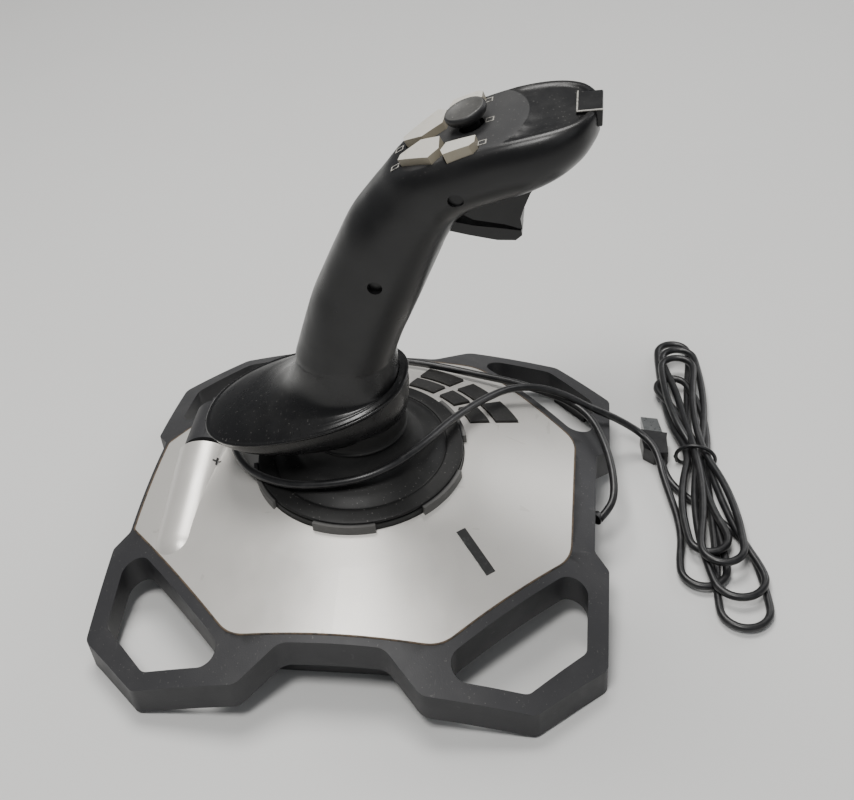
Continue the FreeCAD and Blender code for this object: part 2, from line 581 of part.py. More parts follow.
def make_casing_parts(dome_top):
    """Key board on posts, main board, ballast plate, and the plain raised badge."""
    plate = box("key_board_plate", ("dims.board_x", "dims.board_y", "dims.board_z"),
                ("dims.board_long", "dims.board_wide", "dims.board_thick"))
    posts = []
    for index, (across, along) in enumerate(POST_SHARES):
        foot = ("dims.board_x + %s * dims.board_long" % across,
                "dims.board_y + %s * dims.board_wide" % along, FLOOR)
        posts.append(cylinder("key_board_post_%d" % index, "dims.axle_r",
                              "dims.board_z - " + FLOOR, foot))
    main_board = box("main_board", ("dims.main_x", "dims.main_y", FLOOR),
                     ("dims.main_long", "dims.main_wide", "dims.board_thick"))
    ballast = box("ballast_plate", ("dims.ballast_x", "dims.ballast_y", FLOOR),
                  ("dims.ballast_long", "dims.ballast_wide", "dims.ballast_high"))
    bar = bind(doc.addObject("Part::Box", "badge_bar"), Length="dims.badge_long", Width="dims.badge_wide",
               Height=HIGH)
    place(bar, "dims.badge_x", "dims.badge_y", axis=Vector(0, 0, 1), angle="dims.badge_turn")
    badge = cut("badge", common("badge_top", bar, dome("dome_badge", "dims.badge_up")), dome_top)
    return [fuse("key_board", plate, *posts), main_board, ballast, badge]


# ---------------------------------------------------------------- stick
def make_bracket():
    """U bracket on the casing floor that carries the yoke's pins, and the sensor on one pin's end."""
    wall_x = "dims.bracket_x + dims.bracket_wall"
    foot = box("bracket_plate", ("-(%s)" % wall_x, "-dims.bracket_foot_y", FLOOR),
               ("2 * (%s)" % wall_x, "2 * dims.bracket_foot_y", "dims.bracket_foot"))
    walls = []
    for side, start in (("left", "-(%s)" % wall_x), ("right", "dims.bracket_x")):
        walls.append(box("bracket_" + side, (start, "-dims.bracket_y", FLOOR),
                         ("dims.bracket_wall", "2 * dims.bracket_y", "dims.bracket_top - " + FLOOR)))
    holes = cylinder_x("bracket_holes", "dims.pin_hole", "2 * (%s)" % wall_x,
                       ("-(%s)" % wall_x, "0", "dims.pivot_z"))
    block = box("pitch_sensor_block", (wall_x, "-dims.sensor_half", "dims.pivot_z - dims.sensor_half"),
                ("dims.sensor_long", "2 * dims.sensor_half", "2 * dims.sensor_half"))
    recess = cylinder_x("pitch_sensor_recess", "dims.sensor_recess", "dims.bracket_wall + 1",
                        ("dims.bracket_x", "0", "dims.pivot_z"))
    return [cut("gimbal_bracket", fuse("bracket_body", foot, *walls), holes),
            cut("pitch_sensor", block, recess)]


def make_yoke():
    """Ring that tilts about X in the bracket and carries the stick's pins, with its sensor."""
    outside = box("yoke_block", ("-dims.yoke_x", "-dims.yoke_y", "dims.pivot_z - dims.yoke_half"),
                  ("2 * dims.yoke_x", "2 * dims.yoke_y", "2 * dims.yoke_half"))
    inside = box("yoke_room", ("-dims.yoke_x + dims.yoke_wall", "-dims.yoke_y + dims.yoke_wall", "0"),
                 ("2 * (dims.yoke_x - dims.yoke_wall)", "2 * (dims.yoke_y - dims.yoke_wall)", HIGH))
    pins = cylinder_x("yoke_pins", "dims.pin_r", "2 * dims.yoke_pin", ("-dims.yoke_pin", "0", "dims.pivot_z"))
    holes = cylinder_y("yoke_holes", "dims.pin_hole", "2 * dims.yoke_y",
                       ("0", "-dims.yoke_y", "dims.pivot_z"))
    sensor = box("roll_sensor", ("-dims.sensor_half", "dims.yoke_y", "dims.pivot_z - dims.sensor_half"),
                 ("2 * dims.sensor_half", "dims.sensor_long", "2 * dims.sensor_half"))
    return [cut("gimbal_yoke", fuse("yoke_body", outside, pins), inside, holes), sensor]


def make_shaft():
    """Stick shaft with its pins and the collar inside the boot's neck, its spring and the twist sensor."""
    post = cylinder("shaft_post", "dims.shaft_r", "dims.shaft_top - dims.shaft_low",
                    ("0", "0", "dims.shaft_low"))
    pins = cylinder_y("shaft_pins", "dims.pin_r", "2 * dims.shaft_pin",
                      ("0", "-dims.shaft_pin", "dims.pivot_z"))
    collar = cylinder("shaft_collar", "dims.collar_r", "dims.collar_thick", ("0", "0", "dims.collar_z"))
    sensor = cylinder("twist_sensor", "dims.twist_sensor_r", "dims.twist_sensor_high",
                      ("0", "0", "dims.shaft_top"))
    seat_z = "dims.collar_z - dims.spring_high - dims.spring_wire"
    return [fuse("stick_shaft", post, pins, collar), sensor, spring("centring_spring", seat_z)]


# ---------------------------------------------------------------- handle
def make_palm_rest():
    """Wide rest for the heel of the hand, and the bush that turns on the shaft."""
    body = fuse("rest_body", stacked_loft("rest_rim", RIM), stacked_loft("rest_flare", FLARE))
    neck_room = cylinder("neck_room", "dims.neck_room_r", "dims.neck_room_top")
    bush_room = cylinder("bush_room", "dims.bush_r", "dims.bush_z + dims.bush_high")
    rest = cut("palm_rest", body, neck_room, bush_room, cylinder("rest_bore", "dims.rest_bore", HIGH))
    ring = cylinder("bush_ring", "dims.bush_r", "dims.bush_high", ("0", "0", "dims.bush_z"))
    bush = cut("twist_bush", ring, cylinder("bush_bore", "dims.bush_hole", HIGH))
    return [rest, bush, spring("twist_spring", "dims.bush_z + dims.bush_high + dims.spring_wire")]


def on_crown(piece, tilt):
    """Move a piece made round the origin to the crown, square to it, at a tilt about X in degrees."""
    return place(piece, axis=Vector(1, 0, 0), angle=tilt, y="dims.crown_y - dims.crown_r * sin(%s)" % tilt,
                 z="dims.crown_z + dims.crown_r * cos(%s)" % tilt)


def make_top_keys():
    """Two pairs of keys on the crown, and the tools for their holes."""
    raised = crown("key_tops", "dims.crown_r + dims.key_up")
    lowered = crown("key_feet", "dims.crown_r - dims.key_down")
    keys, holes = [], []
    for pair in ("rear", "front"):
        for side, x_sign in (("right", ""), ("left", "-")):
            name = "top_button_%s_%s" % (pair, side)
            prism = polygon_body(name + "_prism", outline(pair + "_key", x_sign), "2 * dims.key_high",
                                 start="-dims.key_high")
            on_crown(prism, "dims.%s_tilt" % pair)
            keys.append(cut(name, common(name + "_top", prism, raised), lowered))
            holes.append(grown(name + "_hole", prism, "dims.key_gap"))
    return keys, holes


def ball(name, radius, z):
    piece = bind(doc.addObject("Part::Sphere", name), Radius=radius)
    return place(piece, z=z)


def make_hat():
    """Round hat switch with a dished top that rocks on a ball, and the tool for its hole."""
    disc_z = "dims.hat_low + dims.hat_flare"
    disc = cylinder("hat_disc", "dims.hat_r", "dims.hat_high - (%s)" % disc_z, ("0", "0", disc_z))
    flare = bind(doc.addObject("Part::Cone", "hat_under"), Radius1="dims.hat_neck_r", Radius2="dims.hat_r",
                 Height="dims.hat_flare")
    place(flare, z="dims.hat_low")
    stem_z = "dims.hat_pivot - dims.hat_stem"
    stem = cylinder("hat_stem", "dims.hat_stem", "dims.hat_low - (%s)" % stem_z, ("0", "0", stem_z))
    dish = ball("hat_dish", "dims.hat_dish", "dims.hat_high + dims.hat_dish - dims.hat_dish_deep")
    socket = ball("hat_socket", "dims.hat_socket", "dims.hat_pivot")
    throat = cylinder("hat_throat", "dims.hat_throat", "dims.hat_stem", ("0", "0", stem_z))
    hat_cap = cut("hat_cap", fuse("hat_solid", disc, flare, stem), dish, socket, throat)
    shank = cylinder("hat_shank", "dims.hat_shank", "dims.hat_pivot - dims.hat_foot",
                     ("0", "0", "dims.hat_foot"))
    pivot = fuse("hat_pivot", ball("hat_ball", "dims.hat_ball", "dims.hat_pivot"), shank)
    hole = fuse("hat_hole", cylinder("hat_hole_above", "dims.hat_hole", "dims.key_high"),
                cylinder("hat_hole_below", "dims.hat_hole", "dims.key_high", ("0", "0", "-dims.key_high")))
    for piece in (hat_cap, pivot, hole):
        on_crown(piece, "dims.hat_tilt")
    return [hat_cap, pivot], hole


def side_body(name, prefix, half):
    """Plate with an outline drawn in the YZ plane, as thick on the left as on the right."""
    return polygon_body(name, outline(prefix), "2 * dims." + half, start="-dims." + half, role="YZ_Plane")


def make_trigger():
    """Hooked trigger on a pin across the head, and the fixed bar under it."""
    pin_line = ("-dims.trigger_pin_long", "dims.trigger_y", "dims.trigger_z")
    pin = cylinder_x("trigger_pin", "dims.trigger_pin", "2 * dims.trigger_pin_long", pin_line)
    bore = cylinder_x("trigger_bore", "dims.trigger_pin_hole", "2 * dims.trigger_pin_long", pin_line)
    trigger = cut("trigger", side_body("trigger_blade", "trigger_side", "trigger_half"), bore)
    return trigger, pin, side_body("finger_rest", "bar_side", "rest_bar")


def make_shells(trigger_pin, finger_rest, nose_room):
    """Hollow handle in two halves that meet at x = 0, open under the cap."""
    solid = fuse("handle_solid", stacked_loft("grip", GRIP), stacked_loft("head", HEAD))
    outer = common("handle_outer", solid, crown("under_cap", "dims.crown_r - dims.cap_thick"))
    head_room = place(stacked_loft("head_room", HEAD, size("wall")), z="dims.wall")
    grip_skin = cut("grip_skin", outer, stacked_loft("grip_room", GRIP, size("wall")))
    bosses, tools = [], [trigger_pin, finger_rest, nose_room]
    for side, start in (("right", "dims.boss_inner"), ("left", "-dims.head_half")):
        bosses.append(cylinder_x("pin_boss_" + side, "dims.boss_r", "dims.head_half - dims.boss_inner",
                                 (start, "dims.trigger_y", "dims.trigger_z")))
    for where in ("upper", "lower"):
        centre = ("dims.%s_screw_y" % where, "dims.%s_screw_z" % where)
        bosses.append(cylinder_x("screw_boss_" + where, "dims.boss_r", "dims.head_half", ("0",) + centre))
        tools.append(cylinder_x("screw_hole_" + where, "dims.handle_hole", "dims.head_half",
                                ("dims.handle_screw_x",) + centre))
    tools.append(cylinder_x("thumb_hole", "dims.thumb_r + dims.key_gap", "2 * dims.thumb_long",
                            ("-dims.thumb_out - dims.wall", "dims.thumb_y", "dims.thumb_z")))
    tools.append(box("trigger_slot", ("-dims.trigger_slot", "dims.slot_low_y", "dims.slot_low_z"),
                     ("2 * dims.trigger_slot", "dims.slot_long", "dims.slot_high")))
    walls = fuse("handle_walls", cut("handle_skin", grip_skin, head_room),
                 common("handle_bosses", fuse("all_bosses", *bosses), outer))
    hollow = cut("handle_hollow", walls, *tools)
    halves = []
    for side, start in (("right", "0"), ("left", "-dims.head_half")):
        half = box("half_" + side, (start, "-dims.head_half", "dims.flare_top_z"),
                   ("dims.head_half", "4 * dims.head_half", "dims.crown_r"))
        halves.append(common("handle_" + side, hollow, half))
    return solid, halves


def make_cap(solid, key_holes, hat_hole, nose_room):
    """Crowned plate that closes the head, with the holes for its controls."""
    top = common("cap_top", solid, crown("over_cap", "dims.crown_r"))
    plate = cut("cap_plate", top, crown("cap_under", "dims.crown_r - dims.cap_thick"))
    return cut("head_cap", plate, hat_hole, nose_room, *key_holes)


def make_handle_parts():
    """Everything that turns with the handle, above the palm rest."""
    nose_room = box("nose_room", ("-dims.nose_x", "dims.nose_y", "dims.nose_z"),
                    ("2 * dims.nose_x", "dims.nose_long", "dims.nose_high"))
    trigger, pin, finger_rest = make_trigger()
    solid, halves = make_shells(pin, finger_rest, nose_room)
    nose = common("nose_block", solid, nose_room, crown("nose_top", "dims.crown_r + dims.nose_up"))
    keys, key_holes = make_top_keys()
    hat, hat_hole = make_hat()
    thumb = cylinder_x("thumb_button", "dims.thumb_r", "dims.thumb_long",
                       ("-dims.thumb_out", "dims.thumb_y", "dims.thumb_z"))
    screws = [cylinder_x("handle_screw_" + where, "dims.handle_screw_r", "dims.handle_screw_long",
                         ("dims.handle_screw_x", "dims.%s_screw_y" % where, "dims.%s_screw_z" % where))
              for where in ("upper", "lower")]
    cap = make_cap(solid, key_holes, hat_hole, nose_room)
    return halves + [cap, nose, finger_rest, trigger, pin, thumb] + keys + hat + screws


# ---------------------------------------------------------------- cord
CORD_ROUTE = (
    (6.0, 104.2, 22.0), (0.5, 108.4, 22.8), (-7.5, 110.6, 24.3), (-20.0, 109.6, 26.8), (-35.0, 106.0, 29.0),
    (-51.0, 99.6, 30.5), (-60.5, 89.0, 32.0), (-64.5, 75.5, 34.5), (-67.5, 62.0, 37.0), (-69.0, 46.0, 39.5),
    (-72.0, 28.0, 41.5), (-76.0, 10.0, 41.5), (-78.0, -10.0, 40.5), (-73.0, -30.0, 40.5),
    (-61.0, -47.0, 41.5), (-45.0, -56.0, 44.0), (-28.0, -60.0, 46.5), (-11.0, -60.5, 49.5),
    (5.0, -55.0, 53.0), (19.2, -43.7, 55.8), (28.7, -27.0, 59.2), (31.2, -9.0, 62.7), (29.2, 8.5, 65.8),
    (19.8, 22.5, 67.6), (5.5, 31.5, 66.0), (-11.0, 38.0, 61.5), (-27.0, 45.5, 56.0), (-42.0, 52.5, 49.5),
    (-54.0, 61.0, 44.5), (-60.5, 73.0, 40.5), (-60.5, 86.0, 36.5), (-57.5, 97.5, 31.5), (-59.5, 108.0, 24.5),
    (-62.0, 115.5, 17.5), (-60.8, 123.0, 12.8), (-53.5, 129.6, 11.0), (-45.5, 132.4, 8.6),
    (-37.5, 133.6, 6.8),
)
ARC_SHARE = 0.45


def cord_path(points):
    """Straight runs joined by tangent arcs, each as large as its two runs allow."""
    edges = []
    start = points[0]
    for before, corner, after in zip(points, points[1:], points[2:]):
        come = (corner - before).normalize()
        leave = (after - corner).normalize()
        turn = come.getAngle(leave)
        trim = ARC_SHARE * min((corner - before).Length, (after - corner).Length)
        radius = trim / math.tan(turn / 2)
        first = corner - come * trim
        last = corner + leave * trim
        inward = (leave - come).normalize()
        middle = corner + inward * (radius / math.cos(turn / 2) - radius)
        edges.append(Part.LineSegment(start, first).toShape())
        edges.append(Part.Arc(first, middle, last).toShape())
        start = last
        print("cord bend %.1f deg, radius %.1f mm" % (math.degrees(turn), radius))
    edges.append(Part.LineSegment(start, points[-1]).toShape())
    return Part.Wire(edges)


def make_cord_tube():
    """The stretch of cord that isn't coiled: from the gland round the stick and down to the hank."""
    points = [Vector(*point) for point in CORD_ROUTE]
    path = cord_path(points)
    radius = size("cord_r")
    circle = Part.makeCircle(radius, points[0], points[1] - points[0])
    tube = Part.Wire([circle])
    solid = path.makePipeShell([tube], True, True)
    piece = doc.addObject("Part::Feature", "cord_tube")
    piece.Shape = solid
    expected = math.pi * radius ** 2 * path.Length
    print("cord tube length %.0f mm, volume ratio %.3f" % (path.Length, piece.Shape.Volume / expected))
    return piece


def make_cord_end():
    """The gland in the side wall, the tied hank on the table and the plug beside it."""
    gland = cylinder_y("strain_relief", "dims.gland_r", "dims.gland_end - dims.gland_start",
                       ("dims.gland_x", "dims.gland_start", "dims.gland_z"))
    hank = polygon_body("cord_hank", outline("hank_plan"), "dims.hank_high", start="dims.hank_low")
    plug = polygon_body("plug_body", outline("plug_plan"), "dims.plug_high", start="dims.plug_low")
    shell = polygon_body("plug_shell", outline("shell_plan"), "dims.shell_high", start="dims.shell_low")
    return [gland, hank, plug, shell]


# ---------------------------------------------------------------- whole object and export
def make_everything():
    dome_top = dome("dome_top")
    dome_under_cover = dome("dome_under_cover", "-dims.skin")
    dome_under_shell = dome("dome_under_shell", "-dims.shell_deep")
    keys, key_holes = make_base_keys()
    nodes = [make_base_frame(dome_top, dome_under_cover, dome_under_shell),
             make_top_plate(dome_top, dome_under_cover, key_holes)]
    nodes += make_tub(dome_under_cover) + make_feet(dome_under_shell) + make_centre_ring(dome_top)
    nodes += keys + make_throttle() + make_casing_parts(dome_top)
    nodes += make_bracket() + make_yoke() + make_shaft()
    nodes += make_palm_rest() + make_handle_parts()
    nodes += [make_cord_tube()] + make_cord_end()
    return nodes


def check_and_export(nodes):
    """Stop on any failed object; otherwise write each node's own STEP file."""
    failed = [item.Label for item in doc.Objects if {"Invalid", "Error"} & set(item.State)]
    if failed:
        raise RuntimeError("failed objects: " + ", ".join(failed))
    for node in nodes:
        shape = node.Shape
        if shape.isNull() or not shape.isValid() or shape.Volume <= 0:
            raise RuntimeError("bad shape: " + node.Label)
        if len(shape.Solids) != 1:
            print("%s has %d solids" % (node.Label, len(shape.Solids)))
    os.makedirs("parts", exist_ok=True)
    for node in nodes:
        node.Shape.exportStep("parts/%s.step" % node.Label)
    print("%d nodes" % len(nodes))


all_nodes = make_everything()
doc.recompute()
check_and_export(all_nodes)
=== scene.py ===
"""Flight joystick on a plain studio floor: looks, cord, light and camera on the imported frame.

Metres, in the frame's own axes: +Z up, the user at -Y, the stick leaning towards +Y.
"""

import math

import bmesh
import bpy
from mathutils import Matrix, Vector


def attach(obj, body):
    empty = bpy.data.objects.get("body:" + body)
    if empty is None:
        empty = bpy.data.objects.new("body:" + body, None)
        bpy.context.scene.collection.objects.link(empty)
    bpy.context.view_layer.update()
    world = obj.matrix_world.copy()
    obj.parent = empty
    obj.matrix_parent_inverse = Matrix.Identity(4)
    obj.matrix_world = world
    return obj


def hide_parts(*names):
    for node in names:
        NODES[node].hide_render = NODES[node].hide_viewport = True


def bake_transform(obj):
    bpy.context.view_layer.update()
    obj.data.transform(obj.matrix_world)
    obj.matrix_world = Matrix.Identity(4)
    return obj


MM = 0.001
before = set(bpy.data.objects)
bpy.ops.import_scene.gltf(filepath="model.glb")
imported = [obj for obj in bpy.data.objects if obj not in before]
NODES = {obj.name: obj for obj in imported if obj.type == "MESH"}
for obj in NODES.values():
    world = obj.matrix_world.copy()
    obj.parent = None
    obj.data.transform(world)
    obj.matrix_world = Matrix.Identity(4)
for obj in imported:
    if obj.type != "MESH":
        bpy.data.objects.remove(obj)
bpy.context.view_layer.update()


# ---------------------------------------------------------------- small node builders
class Paint:
    """One procedural material: a Principled shader and the nodes that feed it."""

    def __init__(self, name, colour, roughness, metallic=0.0, coat=0.0, coat_roughness=0.2, specular=0.5):
        self.material = bpy.data.materials.new(name)
        self.material.use_nodes = True
        self.nodes = self.material.node_tree.nodes
        self.links = self.material.node_tree.links
        self.shader = self.nodes["Principled BSDF"]
        self.shader.inputs["Base Color"].default_value = (*colour, 1.0)
        self.shader.inputs["Roughness"].default_value = roughness
        self.shader.inputs["Metallic"].default_value = metallic
        self.shader.inputs["Coat Weight"].default_value = coat
        self.shader.inputs["Coat Roughness"].default_value = coat_roughness
        self.shader.inputs["Specular IOR Level"].default_value = specular
        self.place = self.nodes.new("ShaderNodeTexCoord").outputs["Object"]
        self.normal = None

    def stretched(self, x, y, z):
        """The object's coordinates, stretched so that patterns run along an axis."""
        mapping = self.nodes.new("ShaderNodeMapping")
        mapping.inputs["Scale"].default_value = (x, y, z)
        self.links.new(self.place, mapping.inputs["Vector"])
        return mapping.outputs["Vector"]

    def noise(self, size, detail=3.0, roughness=0.6, distortion=0.0, where=None):
        """Noise whose blobs are about a size in metres."""
        node = self.nodes.new("ShaderNodeTexNoise")
        node.inputs["Scale"].default_value = 1.0 / size
        node.inputs["Detail"].default_value = detail
        node.inputs["Roughness"].default_value = roughness
        node.inputs["Distortion"].default_value = distortion
        self.links.new(where or self.place, node.inputs["Vector"])
        return node.outputs["Fac"]

    def cells(self, size, smooth=False):
        """Rounded cells about a size across, for fine moulded texture."""
        node = self.nodes.new("ShaderNodeTexVoronoi")
        node.feature = "SMOOTH_F1" if smooth else "F1"
        node.inputs["Scale"].default_value = 1.0 / size
        self.links.new(self.place, node.inputs["Vector"])
        return node.outputs["Distance"]

    def ramp(self, value, low, high, low_out=0.0, high_out=1.0):
        """A value mapped from one range to another, and held at the ends."""
        node = self.nodes.new("ShaderNodeMapRange")
        node.interpolation_type = "SMOOTHSTEP"
        sockets = ("From Min", "From Max", "To Min", "To Max")
        for socket, amount in zip(sockets, (low, high, low_out, high_out)):
            node.inputs[socket].default_value = amount
        self.links.new(value, node.inputs["Value"])
        return node.outputs["Result"]

    def mixed(self, first, second, kind="MULTIPLY"):
        """Two values, or a value and a number, multiplied together unless another kind is named."""
        node = self.nodes.new("ShaderNodeMath")
        node.operation = kind
        for socket, value in zip(node.inputs, (first, second)):
            if isinstance(value, (int, float)):
                socket.default_value = value
            else:
                self.links.new(value, socket)
        return node.outputs["Value"]

    def facing(self, direction, low, high):
        """1 where the surface faces along a direction, fading to 0."""
        geometry = self.nodes.new("ShaderNodeNewGeometry")
        dot = self.nodes.new("ShaderNodeVectorMath")
        dot.operation = "DOT_PRODUCT"
        dot.inputs[1].default_value = direction
        self.links.new(geometry.outputs["Normal"], dot.inputs[0])
        return self.ramp(dot.outputs["Value"], low, high)

    def edges(self, low=0.51, high=0.56):
        """1 along the worn outward edges of a dense mesh."""
        geometry = self.nodes.new("ShaderNodeNewGeometry")
        return self.ramp(geometry.outputs["Pointiness"], low, high)

    def above(self, height):
        """1 above a height, 0 below it."""
        split = self.nodes.new("ShaderNodeSeparateXYZ")
        self.links.new(self.place, split.inputs[0])
        return self.ramp(split.outputs["Z"], height - 1 * MM, height + 1 * MM)

    def disc_mask(self, centre, radius):
        """1 inside an upright round column, 0 outside it."""
        flat = self.stretched(1.0, 1.0, 0.0)
        distance = self.nodes.new("ShaderNodeVectorMath")
        distance.operation = "DISTANCE"
        distance.inputs[1].default_value = (*centre, 0.0)
        self.links.new(flat, distance.inputs[0])
        return self.ramp(distance.outputs["Value"], radius - 0.3 * MM, radius + 0.3 * MM, 1.0, 0.0)

    def tint(self, factor, colour):
        """Blend another colour over what the shader's colour is so far."""
        node = self.nodes.new("ShaderNodeMix")
        node.data_type = "RGBA"
        base = self.shader.inputs["Base Color"]
        if base.is_linked:
            self.links.new(base.links[0].from_socket, node.inputs["A"])
        else:
            node.inputs["A"].default_value = base.default_value
        node.inputs["B"].default_value = (*colour, 1.0)
        self.links.new(factor, node.inputs["Factor"])
        self.links.new(node.outputs["Result"], base)
        return self

    def gloss(self, factor, low, high):
        """Roughness that runs from low to high with a factor."""
        node = self.nodes.new("ShaderNodeMapRange")
        node.inputs["To Min"].default_value = low
        node.inputs["To Max"].default_value = high
        self.links.new(factor, node.inputs["Value"])
        self.links.new(node.outputs["Result"], self.shader.inputs["Roughness"])
        return self

    def bump(self, height, depth, strength=1.0):
        """Relief of a depth in metres, added to any relief before it."""
        node = self.nodes.new("ShaderNodeBump")
        node.inputs["Strength"].default_value = strength
        node.inputs["Distance"].default_value = depth
        self.links.new(height, node.inputs["Height"])
        if self.normal:
            self.links.new(self.normal, node.inputs["Normal"])
        self.normal = node.outputs["Normal"]
        self.links.new(self.normal, self.shader.inputs["Normal"])
        return self


# ---------------------------------------------------------------- materials
def dusty(paint, amount=0.25, colour=(0.32, 0.31, 0.29)):
    """Specks and a thin film of dust on what faces up."""
    up = paint.facing((0, 0, 1), 0.3, 1.0)
    specks = paint.ramp(paint.noise(0.9 * MM, 1.0, 0.5), 0.70, 0.76)
    film = paint.ramp(paint.noise(30 * MM, 4.0, 0.6), 0.45, 0.8)
    paint.tint(paint.mixed(paint.mixed(up, specks), amount), colour)
    paint.tint(paint.mixed(paint.mixed(up, film), 0.25 * amount), colour)
    return paint


def scratched(paint, amount=0.3, colour=(0.2, 0.2, 0.2), size=4.0):
    """Fine scratches in two directions."""
    for stretch in ((1.0, 0.06, 1.0), (0.08, 1.0, 1.0)):
        lines = paint.noise(size * MM, 2.0, 0.5, 0.6, paint.stretched(*stretch))
        paint.tint(paint.mixed(paint.ramp(lines, 0.715, 0.735), amount), colour)
    return paint


def casing_black():
    paint = Paint("casing_black", (0.011, 0.011, 0.012), 0.5, specular=0.35)
    grain = paint.cells(0.55 * MM, smooth=True)
    paint.gloss(paint.noise(12 * MM, 4.0, 0.6), 0.36, 0.62)
    paint.tint(paint.mixed(paint.edges(), 0.35), (0.07, 0.07, 0.075))
    scratched(paint, 0.25, (0.08, 0.08, 0.08))
    dusty(paint, 0.18)
    return paint.bump(grain, 0.06 * MM, 0.5)


def cover_silver():
    paint = Paint("cover_silver", (0.68, 0.66, 0.625), 0.36, metallic=0.45, coat=0.12, coat_roughness=0.3)
    cloud = paint.noise(60 * MM, 4.0, 0.6)
    flake = paint.noise(0.35 * MM, 2.0, 0.7)
    paint.tint(paint.ramp(cloud, 0.35, 0.75, 0.0, 0.35), (0.74, 0.72, 0.68))
    paint.tint(paint.ramp(flake, 0.45, 0.8, 0.0, 0.25), (0.86, 0.85, 0.82))
    rubbed = paint.noise(9 * MM, 5.0, 0.7)
    paint.tint(paint.ramp(rubbed, 0.68, 0.78, 0.0, 0.3), (0.50, 0.47, 0.42))
    scratched(paint, 0.25, (0.42, 0.40, 0.36), 6.0)
    paint.gloss(paint.noise(14 * MM, 4.0, 0.6), 0.28, 0.46)
    return paint.bump(flake, 0.02 * MM, 0.4)


def seam_brown():
    paint = Paint("seam_brown", (0.10, 0.07, 0.045), 0.7)
    paint.tint(paint.ramp(paint.noise(4 * MM, 4.0, 0.7), 0.4, 0.7), (0.03, 0.025, 0.02))
    return paint.bump(paint.noise(1 * MM), 0.1 * MM, 0.4)


def handle_black():
    paint = Paint("handle_black", (0.007, 0.007, 0.0075), 0.38, coat=0.10, coat_roughness=0.3, specular=0.4)
    smear = paint.noise(22 * MM, 5.0, 0.65, 0.4)
    paint.tint(paint.ramp(smear, 0.6, 0.8, 0.0, 0.25), (0.035, 0.031, 0.028))
    on_top = paint.facing((0, -0.25, 0.968), 0.955, 0.98)
    top = paint.mixed(on_top, paint.above(HEAD_LOW * MM))
    island = paint.mixed(top, paint.disc_mask((0, ISLAND_Y * MM), ISLAND_R * MM))
    paint.tint(paint.mixed(island, 0.8), (0.034, 0.034, 0.035))
    rough = paint.mixed(paint.ramp(smear, 0.3, 0.7, 0.20, 0.36), paint.mixed(island, 0.28), "ADD")
    rough = paint.mixed(rough, paint.mixed(paint.above(REST_HIGH * MM), 0.07), "ADD")
    paint.links.new(rough, paint.shader.inputs["Roughness"])
    dusty(paint, 0.22)
    paint.bump(paint.mixed(paint.cells(0.8 * MM), island), 0.10 * MM, 0.5)
    return paint.bump(paint.noise(0.6 * MM, 2.0), 0.03 * MM, 0.35)


def control_dark():
    paint = Paint("control_dark", (0.040, 0.040, 0.042), 0.6)
    paint.gloss(paint.noise(5 * MM, 4.0), 0.5, 0.75)
    dusty(paint, 0.6)
    return paint.bump(paint.cells(0.5 * MM), 0.10 * MM, 0.6)


def hat_dark():
    paint = Paint("hat_dark", (0.014, 0.014, 0.015), 0.45)
    up = paint.facing((0, -0.345, 0.939), 0.80, 0.95)
    worn = paint.ramp(paint.noise(2.5 * MM, 5.0, 0.7), 0.2, 0.8, 0.6, 1.0)
    paint.tint(paint.mixed(up, worn), (0.075, 0.074, 0.070))
    paint.gloss(paint.noise(4 * MM, 4.0), 0.4, 0.6)
    dusty(paint, 0.5)
    return paint.bump(paint.cells(0.45 * MM, smooth=True), 0.05 * MM, 0.4)


def key_grey():
    paint = Paint("key_grey", (0.56, 0.54, 0.49), 0.40)
    paint.tint(paint.ramp(paint.noise(3 * MM, 5.0, 0.7), 0.5, 0.75, 0.0, 0.4), (0.38, 0.34, 0.26))
    side = paint.facing((0, -0.42, 0.91), 0.93, 0.6)
    paint.tint(paint.mixed(side, 0.75), (0.20, 0.165, 0.10))
    paint.gloss(paint.noise(2 * MM, 3.0), 0.32, 0.55)
    return paint.bump(paint.noise(0.8 * MM, 3.0), 0.05 * MM, 0.4)


def base_key_dark():
    paint = Paint("base_key_dark", (0.014, 0.0135, 0.013), 0.5)
    paint.tint(paint.ramp(paint.noise(2.5 * MM, 5.0, 0.7), 0.5, 0.75, 0.0, 0.5), (0.04, 0.036, 0.03))
    paint.gloss(paint.noise(3 * MM, 3.0), 0.36, 0.6)
    dusty(paint, 0.3)
    return paint.bump(paint.cells(0.5 * MM, smooth=True), 0.05 * MM, 0.5)


def ring_grey():
    paint = Paint("ring_grey", (0.085, 0.084, 0.081), 0.5)
    paint.tint(paint.ramp(paint.noise(3 * MM, 5.0, 0.7), 0.45, 0.8, 0.0, 0.5), (0.14, 0.135, 0.13))
    paint.tint(paint.disc_mask((0, 0), 45.3 * MM), (0.012, 0.012, 0.012))
    paint.gloss(paint.noise(4 * MM), 0.4, 0.62)
    return paint.bump(paint.noise(0.5 * MM, 2.0), 0.04 * MM, 0.5)


def rubber_black():
    paint = Paint("rubber_black", (0.007, 0.007, 0.007), 0.5, specular=0.35)
    paint.gloss(paint.noise(10 * MM, 5.0, 0.6), 0.40, 0.62)
    dusty(paint, 0.25)
    return paint.bump(paint.noise(0.7 * MM, 3.0), 0.05 * MM, 0.5)


def cord_black():
    paint = Paint("cord_black", (0.009, 0.009, 0.010), 0.34, coat=0.1, coat_roughness=0.3)
    paint.tint(paint.ramp(paint.noise(4 * MM, 4.0, 0.6), 0.45, 0.8, 0.0, 0.5), (0.05, 0.05, 0.05))
    paint.gloss(paint.noise(5 * MM, 4.0), 0.28, 0.48)
    return paint.bump(paint.noise(0.8 * MM, 2.0), 0.04 * MM, 0.4)


